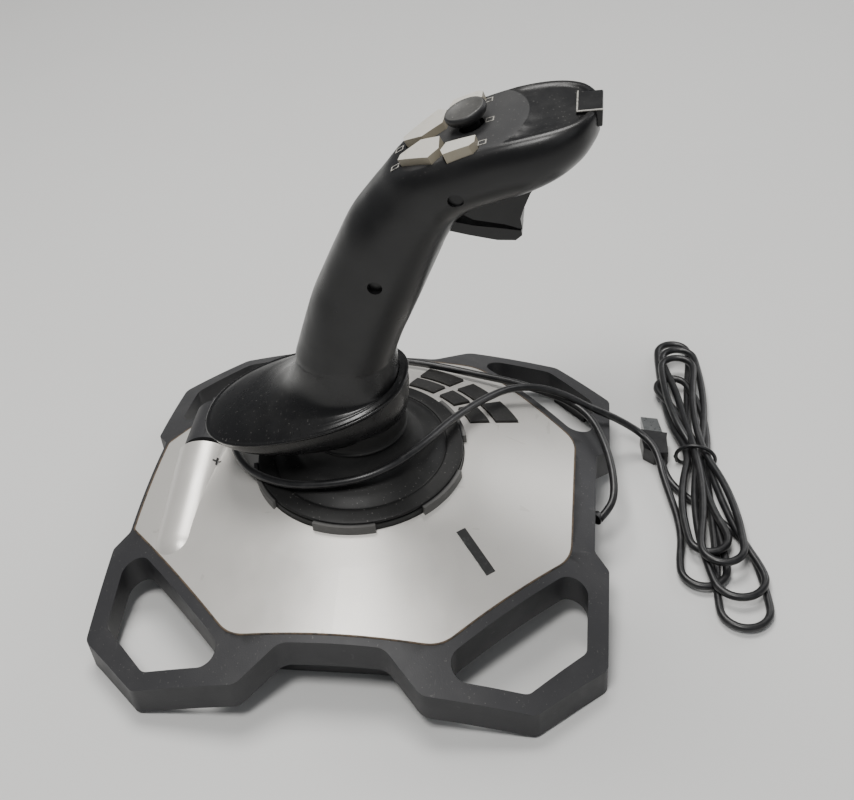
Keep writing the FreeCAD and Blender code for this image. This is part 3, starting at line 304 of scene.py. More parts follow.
def bare_steel():
    paint = Paint("bare_steel", (0.55, 0.55, 0.56), 0.3, metallic=1.0)
    lines = paint.noise(0.8 * MM, 2.0, 0.5, 0.0, paint.stretched(0.05, 1.0, 1.0))
    paint.gloss(lines, 0.2, 0.42)
    return paint.bump(lines, 0.02 * MM, 0.4)


def board_green():
    paint = Paint("board_green", (0.015, 0.09, 0.035), 0.4)
    paint.tint(paint.ramp(paint.noise(3 * MM), 0.5, 0.55, 0.0, 0.5), (0.03, 0.14, 0.05))
    return paint.bump(paint.noise(1.5 * MM), 0.05 * MM, 0.4)


def mechanism_white():
    paint = Paint("mechanism_white", (0.55, 0.55, 0.52), 0.45)
    paint.gloss(paint.noise(6 * MM), 0.35, 0.55)
    return paint.bump(paint.noise(0.6 * MM), 0.03 * MM, 0.4)


def badge_dark():
    paint = Paint("badge_dark", (0.03, 0.03, 0.03), 0.35)
    paint.tint(paint.ramp(paint.noise(2 * MM, 4.0), 0.5, 0.8, 0.0, 0.4), (0.12, 0.12, 0.12))
    return paint.bump(paint.noise(0.5 * MM), 0.02 * MM, 0.4)


def mark_pale():
    # pale print of the key marks; on the nose block's edges the same colour is edge wear and a painted
    # highlight
    paint = Paint("mark_pale", (0.36, 0.35, 0.32), 0.5)
    paint.tint(paint.ramp(paint.noise(1.2 * MM, 4.0, 0.7), 0.45, 0.7), (0.10, 0.095, 0.085))
    return paint.bump(paint.noise(0.5 * MM), 0.02 * MM, 0.3)


def plug_metal():
    # the shell's metal is painted dark, standing for the dark surroundings it reflects: a painted reflection
    paint = Paint("plug_metal", (0.30, 0.31, 0.31), 0.30, metallic=1.0)
    paint.tint(paint.ramp(paint.noise(2 * MM, 4.0), 0.5, 0.8, 0.0, 0.6), (0.12, 0.13, 0.13))
    paint.gloss(paint.noise(1.5 * MM), 0.2, 0.4)
    return paint.bump(paint.noise(1.0 * MM), 0.02 * MM, 0.4)


def studio_floor():
    paint = Paint("studio_floor", (0.70, 0.70, 0.69), 0.7)
    paint.tint(paint.ramp(paint.noise(200 * MM, 4.0), 0.4, 0.7, 0.0, 0.25), (0.66, 0.66, 0.65))
    return paint.bump(paint.noise(3 * MM), 0.05 * MM, 0.3)


# ---------------------------------------------------------------- cord
CORD_DIAMETER = 3.5 * MM
# the free run, in millimetres, from the gland to the hank, as in the CAD
CORD_ROUTE = (
    (6.0, 104.2, 22.0), (0.5, 108.4, 22.8), (-7.5, 110.6, 24.3), (-20.0, 109.6, 26.8), (-35.0, 106.0, 29.0),
    (-51.0, 99.6, 30.5), (-60.5, 89.0, 32.0), (-64.5, 75.5, 34.5), (-67.5, 62.0, 37.0), (-69.0, 46.0, 39.5),
    (-72.0, 28.0, 41.5), (-76.0, 10.0, 41.5), (-78.0, -10.0, 40.5), (-73.0, -30.0, 40.5),
    (-61.0, -47.0, 41.5), (-45.0, -56.0, 44.0), (-28.0, -60.0, 46.5), (-11.0, -60.5, 49.5),
    (5.0, -55.0, 53.0), (19.2, -43.7, 55.8), (28.7, -27.0, 59.2), (31.2, -9.0, 62.7), (29.2, 8.5, 65.8),
    (19.8, 22.5, 67.6), (5.5, 31.5, 66.0), (-11.0, 38.0, 61.5), (-27.0, 45.5, 56.0), (-42.0, 52.5, 49.5),
    (-54.0, 61.0, 44.5), (-60.5, 73.0, 40.5), (-60.5, 86.0, 36.5), (-57.5, 97.5, 31.5), (-59.5, 108.0, 24.5),
    (-62.0, 115.5, 17.5), (-60.8, 123.0, 12.8), (-53.5, 129.6, 11.0), (-45.5, 132.4, 8.6),
    (-37.5, 133.6, 6.8),
)
TIE_X = -52.0
TIE_Y = 150.0
# each turn of the hank: tip (x, y), tip radius, bottom (x, y), bottom radius, place across the tie,
# height, and how far its runs bow aside
HANK_TURNS = (
    (-141.0, 141.5, 8.0, 26.0, 150.5, 10.0, -5.0, 3.6, 2.5),
    (-132.0, 143.5, 8.4, 9.0, 153.0, 8.6, -1.0, 7.0, -2.5),
    (-122.0, 142.0, 8.0, 17.0, 159.0, 9.2, 1.0, 9.6, 4.0),
    (-109.5, 138.5, 7.8, 33.0, 166.0, 11.0, 2.5, 6.0, -3.0),
    (-144.0, 142.5, 8.4, 47.0, 167.0, 10.5, 5.5, 3.0, 3.0),
)
# a run leaves the tie this far aside of its turn's middle, and this far above or below its height
TIE_HALF = 2.4
TIE_LIFT = 1.4
# no point of the hank lies lower than this
LOWEST = 2.0
# control points on a run, as shares of its length, and round an end, in degrees
RUN_SHARES = (0.0, 0.32, 0.66)
END_TURNS = (-100, -60, -20, 20, 60, 100)
# the spline cuts inside its control points, so those of an end stand a little outside its radius
END_CUT = 1.06
# the run back lies nearer the middle than the run out
RETURN_SHARE = 0.8
PLUG_END = ((4.0, 172.0, 2.6), (-10.0, 163.0, 2.2), (-22.0, 151.0, 2.2), (-33.0, 140.0, 2.6),
            (-43.0, 134.5, 3.6), (-52.5, 133.2, 4.3))


def hank_half(end_x, end_y, radius, across, height, bow, lift):
    """Points of half a turn: out from the tie, round the end, and back along the other side."""
    tie = Vector((TIE_X, TIE_Y + across))
    axis = Vector((end_x, end_y)) - tie
    span = axis.length - radius
    axis.normalize()
    left = Vector((-axis.y, axis.x))
    run = [(span * share, TIE_HALF + (radius - TIE_HALF) * math.sin(share * math.pi / 2),
            bow * math.sin(share * math.pi), lift * (1 - share)) for share in RUN_SHARES]
    places = [(along, aside - side, up) for along, side, aside, up in run]
    for turn in map(math.radians, END_TURNS):
        places.append((span + END_CUT * radius * math.cos(turn), END_CUT * radius * math.sin(turn), 0.0))
    places += [(along, aside + side * RETURN_SHARE, -up) for along, side, aside, up in reversed(run[1:])]
    points = []
    for along, side, up in places:
        place = tie + axis * along + left * side
        points.append((place.x, place.y, max(height + up, LOWEST)))
    return points


def hank_points():
    """The whole hank: it starts past the tie, and its last turn leaves for the plug."""
    halves = []
    for tip_x, tip_y, tip_radius, low_x, low_y, low_radius, across, height, bow in HANK_TURNS:
        halves.append(hank_half(low_x, low_y, low_radius, across, height, bow, TIE_LIFT))
        halves.append(hank_half(tip_x, tip_y, tip_radius, across, height, bow, -TIE_LIFT))
    first = halves[0][2:]
    last = halves[-2][:len(RUN_SHARES) + len(END_TURNS)]
    return [point for half in [first] + halves[1:-2] + [last] for point in half] + list(PLUG_END)


def curve_piece(name, points, radius, material):
    """Round cord along one smooth spline through a list of control points in millimetres."""
    curve = bpy.data.curves.new(name, "CURVE")
    curve.dimensions = "3D"
    curve.bevel_depth = radius
    curve.bevel_resolution = 5
    curve.use_fill_caps = True
    spline = curve.splines.new("NURBS")
    spline.points.add(len(points) - 1)
    for point, co in zip(spline.points, points):
        point.co = (co[0] * MM, co[1] * MM, co[2] * MM, 1.0)
    spline.order_u = 3
    spline.use_endpoint_u = True
    spline.resolution_u = 8
    piece = bpy.data.objects.new(name, curve)
    bpy.context.collection.objects.link(piece)
    curve.materials.append(material)
    return piece


def make_cord(material):
    cord = curve_piece("cord", list(CORD_ROUTE) + hank_points(), CORD_DIAMETER / 2, material)
    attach(cord, "base")
    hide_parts("cord_tube", "cord_hank")


# the tie's round, as y and z; its ends overlap
TIE_LOOP = ((141.2, 1.6), (140.0, 5.0), (141.2, 9.0), (144.8, 12.2), (149.5, 13.3), (154.6, 12.0),
            (158.0, 8.8), (159.0, 4.8), (157.6, 1.6), (153.0, 1.0), (149.0, 1.0), (145.0, 1.0),
            (141.2, 1.6), (140.0, 5.0))
TIE_RADIUS = 0.9 * MM
TIE_LEAN = 0.14


def make_tie(material):
    """Thin tie once round the hank."""
    points = [(TIE_X + TIE_LEAN * (y - TIE_Y), y, z) for y, z in TIE_LOOP]
    tie = curve_piece("hank_tie", points, TIE_RADIUS, material)
    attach(tie, "base")


# ---------------------------------------------------------------- pieces made of rings
RING_STEPS = 96
# points of a ring before they are spread evenly
DENSE_STEPS = 480
OVAL_POWER = 2.25


def mesh_piece(name, vertices, faces, materials):
    """Smooth mesh object, its vertices in metres."""
    mesh = bpy.data.meshes.new(name)
    mesh.from_pydata([tuple(vertex) for vertex in vertices], [], faces)
    for material in materials:
        mesh.materials.append(material)
    mesh.polygons.foreach_set("use_smooth", [True] * len(mesh.polygons))
    mesh.update()
    piece = bpy.data.objects.new(name, mesh)
    bpy.context.collection.objects.link(piece)
    return piece


def ring_piece(name, rings, material, close_first=False, close_last=False):
    """Surface through rings of points in millimetres that all have the same number of points."""
    count = len(rings[0])
    vertices = [Vector(point) * MM for ring in rings for point in ring]
    faces = []
    for level in range(len(rings) - 1):
        for step in range(count):
            after = (step + 1) % count
            low = level * count
            faces.append((low + step, low + after, low + count + after, low + count + step))
    for wanted, ring, flip in ((close_first, rings[0], True), (close_last, rings[-1], False)):
        if not wanted:
            continue
        start = 0 if ring is rings[0] else (len(rings) - 1) * count
        middle = len(vertices)
        vertices.append(sum((Vector(point) for point in ring), Vector()) / count * MM)
        for step in range(count):
            pair = (start + step, start + (step + 1) % count)
            faces.append((middle,) + (pair[::-1] if flip else pair))
    return mesh_piece(name, vertices, faces, [material])


def squared(value, power):
    """A sine or cosine pushed outwards, so that a round grows squarer as the power rises above 2."""
    return math.copysign(abs(value) ** (2 / power), value)


def oval(y, z, tilt, deep, wide):
    """Ring like a rounded rectangle in a plane tilted about X."""
    slope = math.radians(tilt)
    points = []
    for step in range(DENSE_STEPS):
        turn = 2 * math.pi * step / DENSE_STEPS
        across = wide * squared(math.cos(turn), OVAL_POWER)
        along = deep * squared(math.sin(turn), OVAL_POWER)
        points.append((across, y + along * math.cos(slope), z + along * math.sin(slope)))
    return points


def smooth_rows(rows, steps):
    """Rows of numbers with more rows between them, along a smooth curve through them all."""
    padded = [rows[0]] + list(rows) + [rows[-1]]
    result = []
    for before, first, last, after in zip(padded, padded[1:], padded[2:], padded[3:]):
        for step in range(steps):
            t = step / steps
            result.append([
                0.5 * (2 * b + (c - a) * t + (2 * a - 5 * b + 4 * c - d) * t * t
                       + (3 * b - a - 3 * c + d) * t ** 3)
                for a, b, c, d in zip(before, first, last, after)])
    result.append(list(rows[-1]))
    return result


# palm rest, from its open underside over the wall and rim and up into the grip:
# middle y and z, tilt, half depth, half width
REST_WALL = (
    (-19.4, 77.5, 8.0, 39.0, 23.0), (-19.4, 75.2, 8.0, 40.8, 24.8), (-19.4, 74.9, 8.0, 42.0, 26.0),
    (-19.5, 75.4, 8.2, 42.8, 26.8), (-20.0, 78.8, 10.5, 44.4, 28.2), (-20.2, 81.9, 12.8, 45.3, 29.0),
    (-20.4, 84.2, 15.0, 45.6, 29.4), (-20.4, 84.8, 15.5, 45.7, 29.5), (-20.4, 85.1, 15.6, 46.2, 30.0),
    (-20.4, 85.5, 15.6, 46.4, 30.2), (-20.4, 85.9, 15.6, 46.3, 30.1), (-20.4, 86.2, 15.6, 45.9, 29.7),
    (-20.4, 86.2, 15.6, 45.4, 29.2),
)
REST_TOP = (
    (-20.4, 86.0, 15.6, 45.0, 28.8), (-19.2, 87.2, 15.4, 42.2, 27.6), (-15.6, 89.2, 14.6, 37.4, 26.2),
    (-11.2, 91.2, 12.8, 32.2, 24.6), (-7.2, 93.4, 10.0, 27.8, 22.8), (-3.9, 96.4, 6.4, 24.3, 21.2),
    (-1.7, 100.6, 3.0, 22.1, 20.2), (-0.5, 105.6, 0.9, 20.9, 19.7), (0.0, 111.0, 0.0, 20.4, 19.5),
)


def rest_rings():
    """Rings of the palm rest, without the last row, where the grip's own slices start."""
    rows = list(REST_WALL) + smooth_rows(REST_TOP, SLICE_ROWS)[1:-1]
    return [resampled([Vector(point) for point in oval(*row)], RING_STEPS) for row in rows]


# ---------------------------------------------------------------- handle
# the head's top is part of a cylinder along X, the crown, with a rounded rim
CROWN_Y, CROWN_Z, CROWN_R = 110.0, 61.0, 159.0
RIM_ROUND = 0.8
# a sunken panel starts this far inside the rim, and a round island in it isn't sunken
PANEL_DEEP = 0.9
PANEL_EDGE = (2.4, 3.4)
ISLAND_Y, ISLAND_R = 49.0, 26.0
ISLAND_EDGE = 0.5
# the paint's heights: only above the first can the island be, and the grip above the second is duller
HEAD_LOW, REST_HIGH = 190.0, 112.0
# slices of the handle from the palm rest to the nose: front y and z, rear y and z, half width
GRIP_SLICES = (
    (20.4, 111.0, -20.4, 111.0, 19.5), (24.6, 122.1, -11.2, 136.5, 18.4), (29.1, 131.9, -5.5, 148.7, 18.0),
    (33.9, 142.6, 1.3, 162.2, 18.4), (38.9, 154.1, 8.1, 174.9, 19.3), (43.0, 163.5, 15.5, 184.5, 20.0),
    (46.5, 171.0, 22.5, 193.0, 20.8), (50.5, 177.5, 31.0, 206.0, 21.5), (57.0, 182.5, 43.0, 212.0, 22.3),
    (66.0, 186.0, 57.0, 218.0, 23.0), (76.0, 190.0, 70.0, 222.0, 23.5), (86.0, 195.5, 83.0, 224.0, 21.8),
    (93.5, 201.5, 92.0, 224.0, 17.0), (97.5, 206.5, 97.0, 222.0, 10.0), (99.0, 209.0, 98.8, 219.0, 4.0),
)
SLICE_POWER = 2.3
SLICE_ROWS = 6


def raw_slice(front_y, front_z, rear_y, rear_z, half):
    """Dense ring through a front and a rear point, before the head's top is cut to the crown."""
    points = []
    for step in range(DENSE_STEPS):
        turn = 2 * math.pi * step / DENSE_STEPS
        across = half * squared(math.cos(turn), SLICE_POWER)
        share = 0.5 + 0.5 * squared(math.sin(turn), SLICE_POWER)
        y = rear_y + share * (front_y - rear_y)
        z = rear_z + share * (front_z - rear_z)
        points.append(Vector((across, y, z)))
    return points


def crown_distance(point):
    return math.hypot(point.y - CROWN_Y, point.z - CROWN_Z)


def on_crown(point, radius):
    """The point moved along the crown's radius to a distance from its axis."""
    scale = radius / crown_distance(point)
    return Vector((point.x, CROWN_Y + (point.y - CROWN_Y) * scale, CROWN_Z + (point.z - CROWN_Z) * scale))


def crown_edge(slices):
    """Plan of the head's rim: where the slices' right sides pass through the crown, and the mirror."""
    right = []
    for ring in slices:
        quarter = ring[DENSE_STEPS // 4::-1] + ring[:DENSE_STEPS * 3 // 4 - 1:-1]
        for low, high in zip(quarter, quarter[1:]):
            if crown_distance(low) <= CROWN_R < crown_distance(high):
                right.append((low.x, low.y))
                break
    return right + [(-x, y) for x, y in reversed(right)]


def edge_distance(x, y, outline):
    """Distance in plan from a point to the nearest side of an outline."""
    nearest = math.inf
    for (ax, ay), (bx, by) in zip(outline, outline[1:] + outline[:1]):
        run_x, run_y = bx - ax, by - ay
        square = run_x ** 2 + run_y ** 2
        share = 0.0
        if square > 0:
            share = max(0.0, min(1.0, ((x - ax) * run_x + (y - ay) * run_y) / square))
        nearest = min(nearest, math.hypot(x - ax - share * run_x, y - ay - share * run_y))
    return nearest


def smooth_step(low, high, value):
    share = max(0.0, min(1.0, (value - low) / (high - low)))
    return share * share * (3 - 2 * share)


def panel_drop(x, y, outline):
    """Depth of the glossy panel between the raised rim and the control island."""
    inside = smooth_step(*PANEL_EDGE, edge_distance(x, y, outline))
    from_island = math.hypot(x, y - ISLAND_Y)
    off_island = smooth_step(ISLAND_R - ISLAND_EDGE, ISLAND_R + ISLAND_EDGE, from_island)
    return PANEL_DEEP * inside * off_island


def crowned(point, outline):
    """Cut the head's top to the crown, with a rounded rim and the sunken panel."""
    distance = crown_distance(point)
    if distance < CROWN_R - 8 * RIM_ROUND or point.z < CROWN_Z + CROWN_R / 2:
        return point
    radius = CROWN_R - RIM_ROUND * math.log(1 + math.exp(min(50.0, (CROWN_R - distance) / RIM_ROUND)))
    if distance > CROWN_R:
        radius -= panel_drop(point.x, point.y, outline)
    return on_crown(point, radius)


def resampled(ring, count):
    """Closed ring with its points spread evenly along it, starting at the same point."""
    lengths = [0.0]
    for first, last in zip(ring, ring[1:] + ring[:1]):
        lengths.append(lengths[-1] + (last - first).length)
    result = []
    place = 0
    for step in range(count):
        goal = lengths[-1] * step / count
        while lengths[place + 1] < goal:
            place += 1
        span = lengths[place + 1] - lengths[place]
        share = 0.0 if span == 0 else (goal - lengths[place]) / span
        result.append(ring[place].lerp(ring[(place + 1) % len(ring)], share))
    return result


# ---------------------------------------------------------------- cutting tools, in millimetres
# the holes' places, radii and depths each way: two screws and the thumb key, the neck, the shaft, the hat
SIDE_HOLES = (((26.0, 50.8, 193.2), 2.85, 6.0), ((26.0, 18.5, 153.7), 2.85, 10.0),
              ((-26.0, 50.0, 193.5), 6.4, 8.0))
NECK_ROOM = ((0.0, 0.0, 50.4), 23.8, 30.0)
SHAFT_ROOM = ((0.0, 0.0, 72.0), 15.2, 46.0)
HAT_TILT = math.radians(20.2)
HAT_ROOM = (4.7, 2.6)
# the trigger's slot and the end block's notch, as lowest and highest corners
SLOT = ((-7.7, 43.0, 160.0), (7.7, 90.0, 205.0))
NOTCH = ((-7.45, 90.95, 213.1), (7.45, 112.0, 240.0))
# each head key's hole is its own shape at this scale, deeper by its travel and more
KEY_GAP_SCALE = 1.06
KEY_ROOM = 2.5 * MM
CUTTER_SEGMENTS = 48
WELD = 0.01 * MM


def cutter_cylinder(place, direction, radius, depth):
    """Closed cylinder about a place, used once as a cutting tool."""
    turn = Vector(direction).to_track_quat("Z", "Y").to_matrix().to_4x4()
    shape = bmesh.new()
    bmesh.ops.create_cone(shape, cap_ends=True, segments=CUTTER_SEGMENTS, radius1=radius * MM,
                          radius2=radius * MM, depth=2 * depth * MM,
                          matrix=Matrix.Translation(Vector(place) * MM) @ turn)
    return cutter_object(shape)


def cutter_object(shape):
    mesh = bpy.data.meshes.new("cutter")
    shape.to_mesh(mesh)
    shape.free()
    tool = bpy.data.objects.new("cutter", mesh)
    bpy.context.collection.objects.link(tool)
    return tool


def cutter_box(low, high):
    shape = bmesh.new()
    middle = (Vector(low) + Vector(high)) / 2 * MM
    extent = (Vector(high) - Vector(low)) * MM
    place = Matrix.Translation(middle) @ Matrix.Diagonal((*extent, 1.0))
    bmesh.ops.create_cube(shape, size=1.0, matrix=place)
    return cutter_object(shape)


def cutter_around(node_name, scale):
    """A CAD node's own shape, a little larger about its middle, with room under it to be pressed."""
    node = NODES[node_name]
    shape = bmesh.new()
    shape.from_mesh(node.data)
    shape.transform(node.matrix_world)
    bmesh.ops.remove_doubles(shape, verts=shape.verts, dist=WELD)
    middle = sum((vertex.co for vertex in shape.verts), Vector()) / len(shape.verts)
    press = Vector((0.0, math.sin(HAT_TILT), -math.cos(HAT_TILT)))
    for vertex in shape.verts:
        below = (vertex.co - middle).dot(press) > 0
        vertex.co = middle + (vertex.co - middle) * scale
        if below:
            vertex.co += press * KEY_ROOM
    return cutter_object(shape)


def carve(piece, tools):
    """Take the tools' shapes out of a closed mesh, then delete the tools."""
    for tool in tools:
        modifier = piece.modifiers.new("carve", "BOOLEAN")
        modifier.operation = "DIFFERENCE"
        modifier.solver = "EXACT"
        modifier.object = tool
    graph = bpy.context.evaluated_depsgraph_get()
    carved = bpy.data.meshes.new_from_object(piece.evaluated_get(graph))
    piece.modifiers.clear()
    piece.data = carved
    for tool in tools:
        bpy.data.objects.remove(tool)


def hat_place():
    """Where the hat's axis meets the crown."""
    return Vector((0, CROWN_Y - CROWN_R * math.sin(HAT_TILT), CROWN_Z + CROWN_R * math.cos(HAT_TILT)))


def handle_tools():
    """Everything that is cut out of the handle's skin."""
    tools = [cutter_around(name, KEY_GAP_SCALE) for name in named("top_button")]
    tools += [cutter_cylinder(place, (1, 0, 0), *sizes) for place, *sizes in SIDE_HOLES]
    tools += [cutter_cylinder(place, (0, 0, 1), *sizes) for place, *sizes in (NECK_ROOM, SHAFT_ROOM)]
    tools += [cutter_box(*SLOT), cutter_box(*NOTCH)]
    hat_axis = (0, -math.sin(HAT_TILT), math.cos(HAT_TILT))
    return tools + [cutter_cylinder(hat_place(), hat_axis, *HAT_ROOM)]


def make_handle_skin(material):
    """Palm rest, grip and head as one closed skin, with holes for everything that moves in it."""
    slices = [raw_slice(*row) for row in smooth_rows(GRIP_SLICES, SLICE_ROWS)]
    outline = crown_edge(slices)
    rings = rest_rings()
    rings += [resampled([crowned(point, outline) for point in ring], RING_STEPS) for ring in slices]
    skin = ring_piece("handle_skin", rings, material, close_first=True, close_last=True)
    carve(skin, handle_tools())
    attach(skin, "handle")
    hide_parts("palm_rest", "handle_right", "handle_left", "head_cap")


# ---------------------------------------------------------------- turned pieces
def turned_rings(profile, to_frame=None):
    """Rings about Z from radius and height pairs, moved by a matrix in millimetres where given."""
    rings = []
    for radius, height in profile:
        ring = []
        for step in range(RING_STEPS):
            turn = 2 * math.pi * step / RING_STEPS
            point = Vector((radius * math.cos(turn), radius * math.sin(turn), height))
            ring.append(to_frame @ point if to_frame else point)
        rings.append(ring)
    return rings


# profiles are radius and height pairs, from the bottom up
HAT_PROFILE = ((3.1, -1.8), (3.2, 1.2), (4.4, 2.2), (5.7, 2.7), (7.1, 3.9), (7.6, 4.8), (7.75, 5.7),
               (7.6, 6.4), (7.2, 6.9), (6.7, 6.95), (6.0, 6.7), (4.4, 6.2), (2.2, 5.95), (0.6, 5.9))


def make_hat(material):
    """Mushroom-shaped hat switch with a dished top."""
    to_frame = Matrix.Translation(hat_place()) @ Matrix.Rotation(HAT_TILT, 4, "X")
    hat = ring_piece("hat_skin", turned_rings(HAT_PROFILE, to_frame), material, close_last=True)
    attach(hat, "hat")
    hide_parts("hat_cap")


BOOT_LOW = ((44.0, 52.8), (44.6, 53.4), (44.6, 54.0), (44.2, 54.5), (42.5, 54.9), (38.2, 55.6),
            (37.6, 55.2), (36.6, 55.4), (33.0, 57.4), (29.6, 58.7), (27.2, 60.0), (25.4, 62.2))
BOOT_NECK = ((25.4, 62.2), (23.7, 64.6), (22.2, 67.6), (21.6, 69.6), (22.1, 70.6), (21.4, 71.6),
             (21.2, 74.0), (21.4, 79.4))
BOOT_ROWS = 3


def make_boot(material):
    """Rubber boot in two pieces: the low disc and the neck."""
    low = ring_piece("boot_disc", turned_rings(smooth_rows(BOOT_LOW, BOOT_ROWS)), material)
    neck = ring_piece("boot_neck", turned_rings(smooth_rows(BOOT_NECK, BOOT_ROWS)), material)
    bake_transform(low)
    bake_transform(neck)
    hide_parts("boot")


GLAND_START = Vector((0.0, -2.2, 0.0))
GLAND_PROFILE = ((3.4, 0.0), (3.4, 0.6), (3.0, 0.9), (2.6, 1.6), (2.3, 2.4), (1.9, 3.2))


def make_strain_relief(material):
    """Short tapered sleeve where the cord leaves the casing."""
    start = Vector(CORD_ROUTE[0]) + GLAND_START
    leaving = Vector(CORD_ROUTE[1]) - Vector(CORD_ROUTE[0])
    to_frame = Matrix.Translation(start) @ leaving.to_track_quat("Z", "Y").to_matrix().to_4x4()
    sleeve = ring_piece("relief_skin", turned_rings(GLAND_PROFILE, to_frame), material)
    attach(sleeve, "base")
    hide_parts("strain_relief")


# ---------------------------------------------------------------- nose and marks on the head
NOSE_HALF, NOSE_REAR, NOSE_FRONT, NOSE_LOW = 7.2, 91.2, 99.8, 213.3
NOSE_UP = 0.2
NOSE_ROUND = 0.6 * MM
# the pale strips on the nose's top edges are partly edge wear and partly a painted highlight
WEAR_AND_HIGHLIGHT_RADIUS = 0.32 * MM
WEAR_AND_HIGHLIGHT_RUNS = 4
# the marks stand on the island
MARKS = ((6.2, 28.2), (-6.2, 28.2), (15.0, 60.0), (-15.0, 60.0), (0.0, 61.5))
MARK_HALF, MARK_BORDER, MARK_UP = 1.5, 0.45, 0.12


def crown_point(x, y, up):
    """Point on the crown at a plan place, raised square to it."""
    z = CROWN_Z + math.sqrt(CROWN_R ** 2 - (y - CROWN_Y) ** 2)
    return on_crown(Vector((x, y, z)), CROWN_R + up)


def make_nose(material, wear_and_highlight_material):
    """Square end block at the front of the head, with pale strips on its top edges: partly edge wear, partly
    a painted highlight.
    """
    low = [(x, y, NOSE_LOW) for x, y in ((-NOSE_HALF, NOSE_REAR), (NOSE_HALF, NOSE_REAR),
                                         (NOSE_HALF, NOSE_FRONT), (-NOSE_HALF, NOSE_FRONT))]
    top = [tuple(crown_point(x, y, NOSE_UP)) for x, y, _ in low]
    vertices = [Vector(point) * MM for point in low + top]
    faces = [(3, 2, 1, 0), (4, 5, 6, 7)] + [(a, (a + 1) % 4, 4 + (a + 1) % 4, 4 + a) for a in range(4)]
    nose = mesh_piece("nose_skin", vertices, faces, [material])
    nose.data.polygons.foreach_set("use_smooth", [False] * len(faces))
    bevel = nose.modifiers.new("soft_edges", "BEVEL")
    bevel.width = NOSE_ROUND
    bevel.segments = 3
    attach(nose, "handle")
    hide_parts("nose_block")
    # pale strips along the rear and side top edges: edge wear and a painted highlight
    for name, run in (("nose_wear_and_highlight_side", (top[2], top[1])), ("nose_wear_and_highlight_rear", (top[1], top[0]))):
        first, last = Vector(run[0]), Vector(run[1])
        points = [first.lerp(last, step / WEAR_AND_HIGHLIGHT_RUNS) for step in range(WEAR_AND_HIGHLIGHT_RUNS + 1)]
        edge = curve_piece(name, points, WEAR_AND_HIGHLIGHT_RADIUS, wear_and_highlight_material)
        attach(edge, "handle")


def make_marks(material):
    """Small square outlines printed beside the keys."""
    vertices, faces = [], []
    for x, y in MARKS:
        start = len(vertices)
        for half in (MARK_HALF, MARK_HALF - MARK_BORDER):
            for sx, sy in ((-1, -1), (1, -1), (1, 1), (-1, 1)):
                vertices.append(crown_point(x + sx * half, y + sy * half, MARK_UP) * MM)
        for a in range(4):
            b = (a + 1) % 4
            faces.append((start + a, start + b, start + 4 + b, start + 4 + a))
    marks = mesh_piece("key_marks", vertices, faces, [material])
    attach(marks, "handle")


# ---------------------------------------------------------------- cover seam and marks
APEX, DOME_ARC, DOME_TURN = 56.5, 160.0, 60.0
# the cover's corners and their radii
COVER = ((85.5, 43.0, 17.0), (36.0, 92.5, 17.0), (-36.0, 92.5, 17.0), (-85.5, 43.0, 17.0),
         (-85.5, -43.0, 17.0), (-28.0, -100.5, 3.0), (28.0, -100.5, 3.0), (85.5, -43.0, 17.0))
CORNER_STEPS = 8
SEAM_STEP = 5.0
SEAM_RADIUS = 0.45 * MM
SEAM_DOWN = 0.12


def dome_height(x, y):
    """Height of the base's domed top: an arc near the middle, then a straight slope."""
    far = math.hypot(x, y)
    near = min(far, DOME_TURN)
    height = APEX - (DOME_ARC - math.sqrt(DOME_ARC ** 2 - near ** 2))
    slope = DOME_TURN / math.sqrt(DOME_ARC ** 2 - DOME_TURN ** 2)
    return height - slope * (far - near)


def rounded_plan(corners):
    """Points along a plan outline whose corners are rounded to their own radius."""
    points = []
    for index, (x, y, radius) in enumerate(corners):
        corner = Vector((x, y))
        come = (corner - Vector(corners[index - 1][:2])).normalized()
        leave = (Vector(corners[(index + 1) % len(corners)][:2]) - corner).normalized()
        trim = radius * math.tan(come.angle(leave) / 2)
        start, end = corner - come * trim, corner + leave * trim
        for step in range(CORNER_STEPS + 1):
            t = step / CORNER_STEPS
            points.append(start * (1 - t) ** 2 + corner * 2 * t * (1 - t) + end * t * t)
    return points


def make_cover_seam(material):
    """Thin dirty line in the gap round the silver cover."""
    plan = rounded_plan(COVER)
    dense = []
    for first, last in zip(plan, plan[1:] + plan[:1]):
        pieces = max(1, round((last - first).length / SEAM_STEP))
        dense += [first.lerp(last, step / pieces) for step in range(pieces)]
    dense += dense[:2]
    points = [(point.x, point.y, dome_height(point.x, point.y) - SEAM_DOWN) for point in dense]
    seam = curve_piece("cover_seam", points, SEAM_RADIUS, material)
    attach(seam, "base")


# the fairing beside the throttle: a cylinder's start, radius and downward tilt
HUMP_X, HUMP_Y, HUMP_Z, HUMP_R, HUMP_TILT = -12.0, -75.0, 33.5, 14.0, math.radians(11.8)
# bars of the plus: middle, half length and half width
COVER_BARS = ((-0.5, -66.8, 1.9, 0.45), (-0.5, -66.8, 0.45, 1.9))
BAR_STEPS = 4
BAR_UP = 0.12


def cover_height(x, y):
    """Height of the cover at a plan place, on the fairing or on the dome."""
    height = dome_height(x, y)
    across = y - HUMP_Y
    if x >= HUMP_X and abs(across) < HUMP_R:
        axis = HUMP_Z - (x - HUMP_X) * math.tan(HUMP_TILT)
        height = max(height, axis + math.sqrt(HUMP_R ** 2 - across ** 2) / math.cos(HUMP_TILT))
    return height


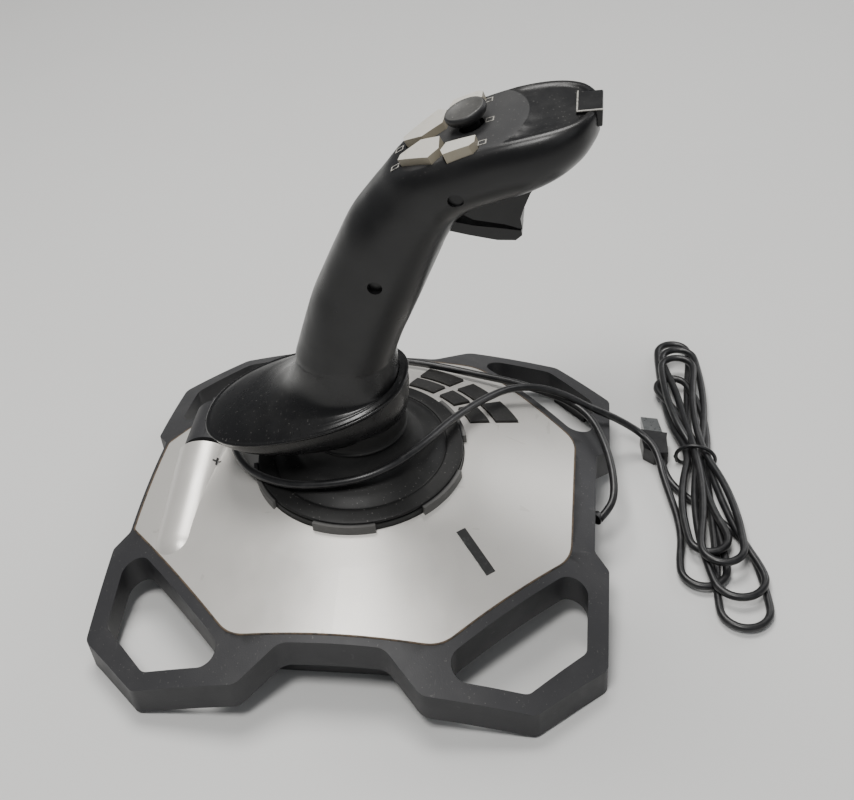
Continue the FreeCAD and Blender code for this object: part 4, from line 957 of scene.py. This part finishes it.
def make_cover_marks(material):
    """Printed plus beside the throttle wheel."""
    vertices, faces = [], []
    for x, y, half_x, half_y in COVER_BARS:
        for row in range(BAR_STEPS + 1):
            for column in range(BAR_STEPS + 1):
                px = x + half_x * (2 * column / BAR_STEPS - 1)
                py = y + half_y * (2 * row / BAR_STEPS - 1)
                vertices.append(Vector((px, py, cover_height(px, py) + BAR_UP)) * MM)
        start = len(vertices) - (BAR_STEPS + 1) ** 2
        for row in range(BAR_STEPS):
            for column in range(BAR_STEPS):
                low = start + row * (BAR_STEPS + 1) + column
                high = low + BAR_STEPS + 1
                faces.append((low, low + 1, high + 1, high))
    marks = mesh_piece("cover_marks", vertices, faces, [material])
    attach(marks, "base")


# ---------------------------------------------------------------- stage, light and camera
FOCAL_LENGTH = 50.7
CAMERA_PLACE = (0.37256, 0.09626, 0.41182)
CAMERA_TARGET = (-0.03059, 0.02582, 0.0565)
CAMERA_ROLL = math.radians(-5.0)
SENSOR_WIDTH = 36.0
FLOOR_HALF = 4.0


def make_camera():
    """Camera at the photographed angle, turned a little about its own axis."""
    back = (Vector(CAMERA_PLACE) - Vector(CAMERA_TARGET)).normalized()
    right = Vector((0, 0, 1)).cross(back).normalized()
    up = back.cross(right)
    tilted_right = math.cos(CAMERA_ROLL) * right + math.sin(CAMERA_ROLL) * up
    tilted_up = -math.sin(CAMERA_ROLL) * right + math.cos(CAMERA_ROLL) * up
    data = bpy.data.cameras.new("camera")
    data.lens = FOCAL_LENGTH
    data.sensor_width = SENSOR_WIDTH
    camera = bpy.data.objects.new("camera", data)
    camera.matrix_world = Matrix.Translation(CAMERA_PLACE) @ Matrix(
        (tilted_right, tilted_up, back)).transposed().to_4x4()
    bpy.context.collection.objects.link(camera)
    bpy.context.scene.camera = camera


def make_floor(material):
    mesh = bpy.data.meshes.new("floor")
    shape = bmesh.new()
    bmesh.ops.create_grid(shape, x_segments=8, y_segments=8, size=FLOOR_HALF)
    shape.to_mesh(mesh)
    shape.free()
    mesh.materials.append(material)
    floor = bpy.data.objects.new("floor", mesh)
    bpy.context.collection.objects.link(floor)


def area_light(name, place, target, size, power, colour=(1.0, 1.0, 1.0)):
    data = bpy.data.lights.new(name, "AREA")
    data.shape = "RECTANGLE"
    data.size, data.size_y = size
    data.energy = power
    data.color = colour
    light = bpy.data.objects.new(name, data)
    light.location = place
    light.rotation_euler = (Vector(target) - Vector(place)).to_track_quat("-Z", "Y").to_euler()
    bpy.context.collection.objects.link(light)


def make_lights():
    area_light("key", (-0.42, -0.12, 1.25), (0, 0, 0.08), (0.6, 0.5), 13.0, (1.0, 0.985, 0.96))
    area_light("front", (0.42, -0.10, 1.10), (0, 0, 0.08), (0.3, 0.3), 8.0, (1.0, 0.99, 0.97))
    area_light("fill", (1.0, 0.9, 1.1), (0, 0, 0.05), (1.2, 1.2), 2.5, (0.95, 0.97, 1.0))
    area_light("rim", (-0.9, 0.9, 0.6), (0, 0, 0.1), (0.6, 0.9), 4.0)
    world = bpy.data.worlds.new("studio")
    world.use_nodes = True
    world.node_tree.nodes["Background"].inputs["Color"].default_value = (0.85, 0.87, 0.9, 1.0)
    world.node_tree.nodes["Background"].inputs["Strength"].default_value = 0.18
    bpy.context.scene.world = world


# ---------------------------------------------------------------- CAD nodes that keep their shape
# widths in millimetres and segments, by how a node's name starts
EDGE_ROUNDS = {"top_button": (0.9, 1), "base_button": (0.35, 2), "trigger": (1.6, 4), "finger_rest": (1.2, 3),
               "throttle": (0.6, 2), "tab_ring": (0.5, 2), "plug": (1.0, 3), "badge": (0.3, 2),
               "foot_pad": (0.6, 2), "nose_block": (0.4, 2)}
NEVER_ROUNDED = ("trigger_pin", "throttle_axle", "throttle_stand")
SHARP_ANGLE = math.radians(38.0)


def soften(name, piece):
    """Round a node's sharp edges by the width its name asks for."""
    for prefix, (width, segments) in EDGE_ROUNDS.items():
        if name.startswith(prefix) and name not in NEVER_ROUNDED:
            bevel = piece.modifiers.new("soft_edges", "BEVEL")
            bevel.width = width * MM
            bevel.segments = segments
            bevel.limit_method = "ANGLE"
            bevel.angle_limit = SHARP_ANGLE
            return


def finish_nodes(paints):
    """Give each CAD node its material and softened edges."""
    for material, names in paints.items():
        for name in names:
            piece = NODES[name]
            piece.data.materials.clear()
            piece.data.materials.append(material)
            soften(name, piece)


def named(prefix):
    return [name for name in NODES if name.startswith(prefix)]


def main():
    handle_paint = handle_black().material
    rubber_paint = rubber_black().material
    hat_paint = hat_dark().material
    mark_paint = mark_pale().material
    badge_paint = badge_dark().material
    steel_names = ["throttle_axle", "trigger_pin", "gimbal_bracket", "centring_spring", "twist_spring",
                   "ballast_plate"] + named("handle_screw") + named("base_screw")
    white_names = ["gimbal_yoke", "stick_shaft", "twist_bush", "pitch_sensor", "roll_sensor",
                   "twist_sensor", "hat_pivot"]
    materials = {
        casing_black().material: ["base_frame", "base_tub", "base_cover", "throttle_stand", "throttle"],
        cover_silver().material: ["top_plate"],
        rubber_paint: ["boot"] + named("foot_pad"),
        ring_grey().material: ["tab_ring"],
        base_key_dark().material: named("base_button"),
        key_grey().material: named("top_button") + ["thumb_button"],
        handle_paint: ["handle_right", "handle_left", "palm_rest", "trigger", "finger_rest", "nose_block"],
        control_dark().material: ["head_cap"],
        hat_paint: ["hat_cap"],
        badge_paint: ["badge"],
        plug_metal().material: ["plug_shell"],
        bare_steel().material: steel_names,
        board_green().material: ["key_board", "main_board"],
        mechanism_white().material: white_names,
    }
    cord_material = cord_black().material
    materials[cord_material] = ["plug_body", "strain_relief"]
    finish_nodes(materials)
    make_cord(cord_material)
    make_tie(cord_material)
    make_strain_relief(cord_material)
    make_cover_seam(seam_brown().material)
    make_handle_skin(handle_paint)
    make_hat(hat_paint)
    make_nose(handle_paint, mark_paint)
    make_marks(mark_paint)
    make_cover_marks(badge_paint)
    make_boot(rubber_paint)
    make_floor(studio_floor().material)
    make_lights()
    make_camera()


main()
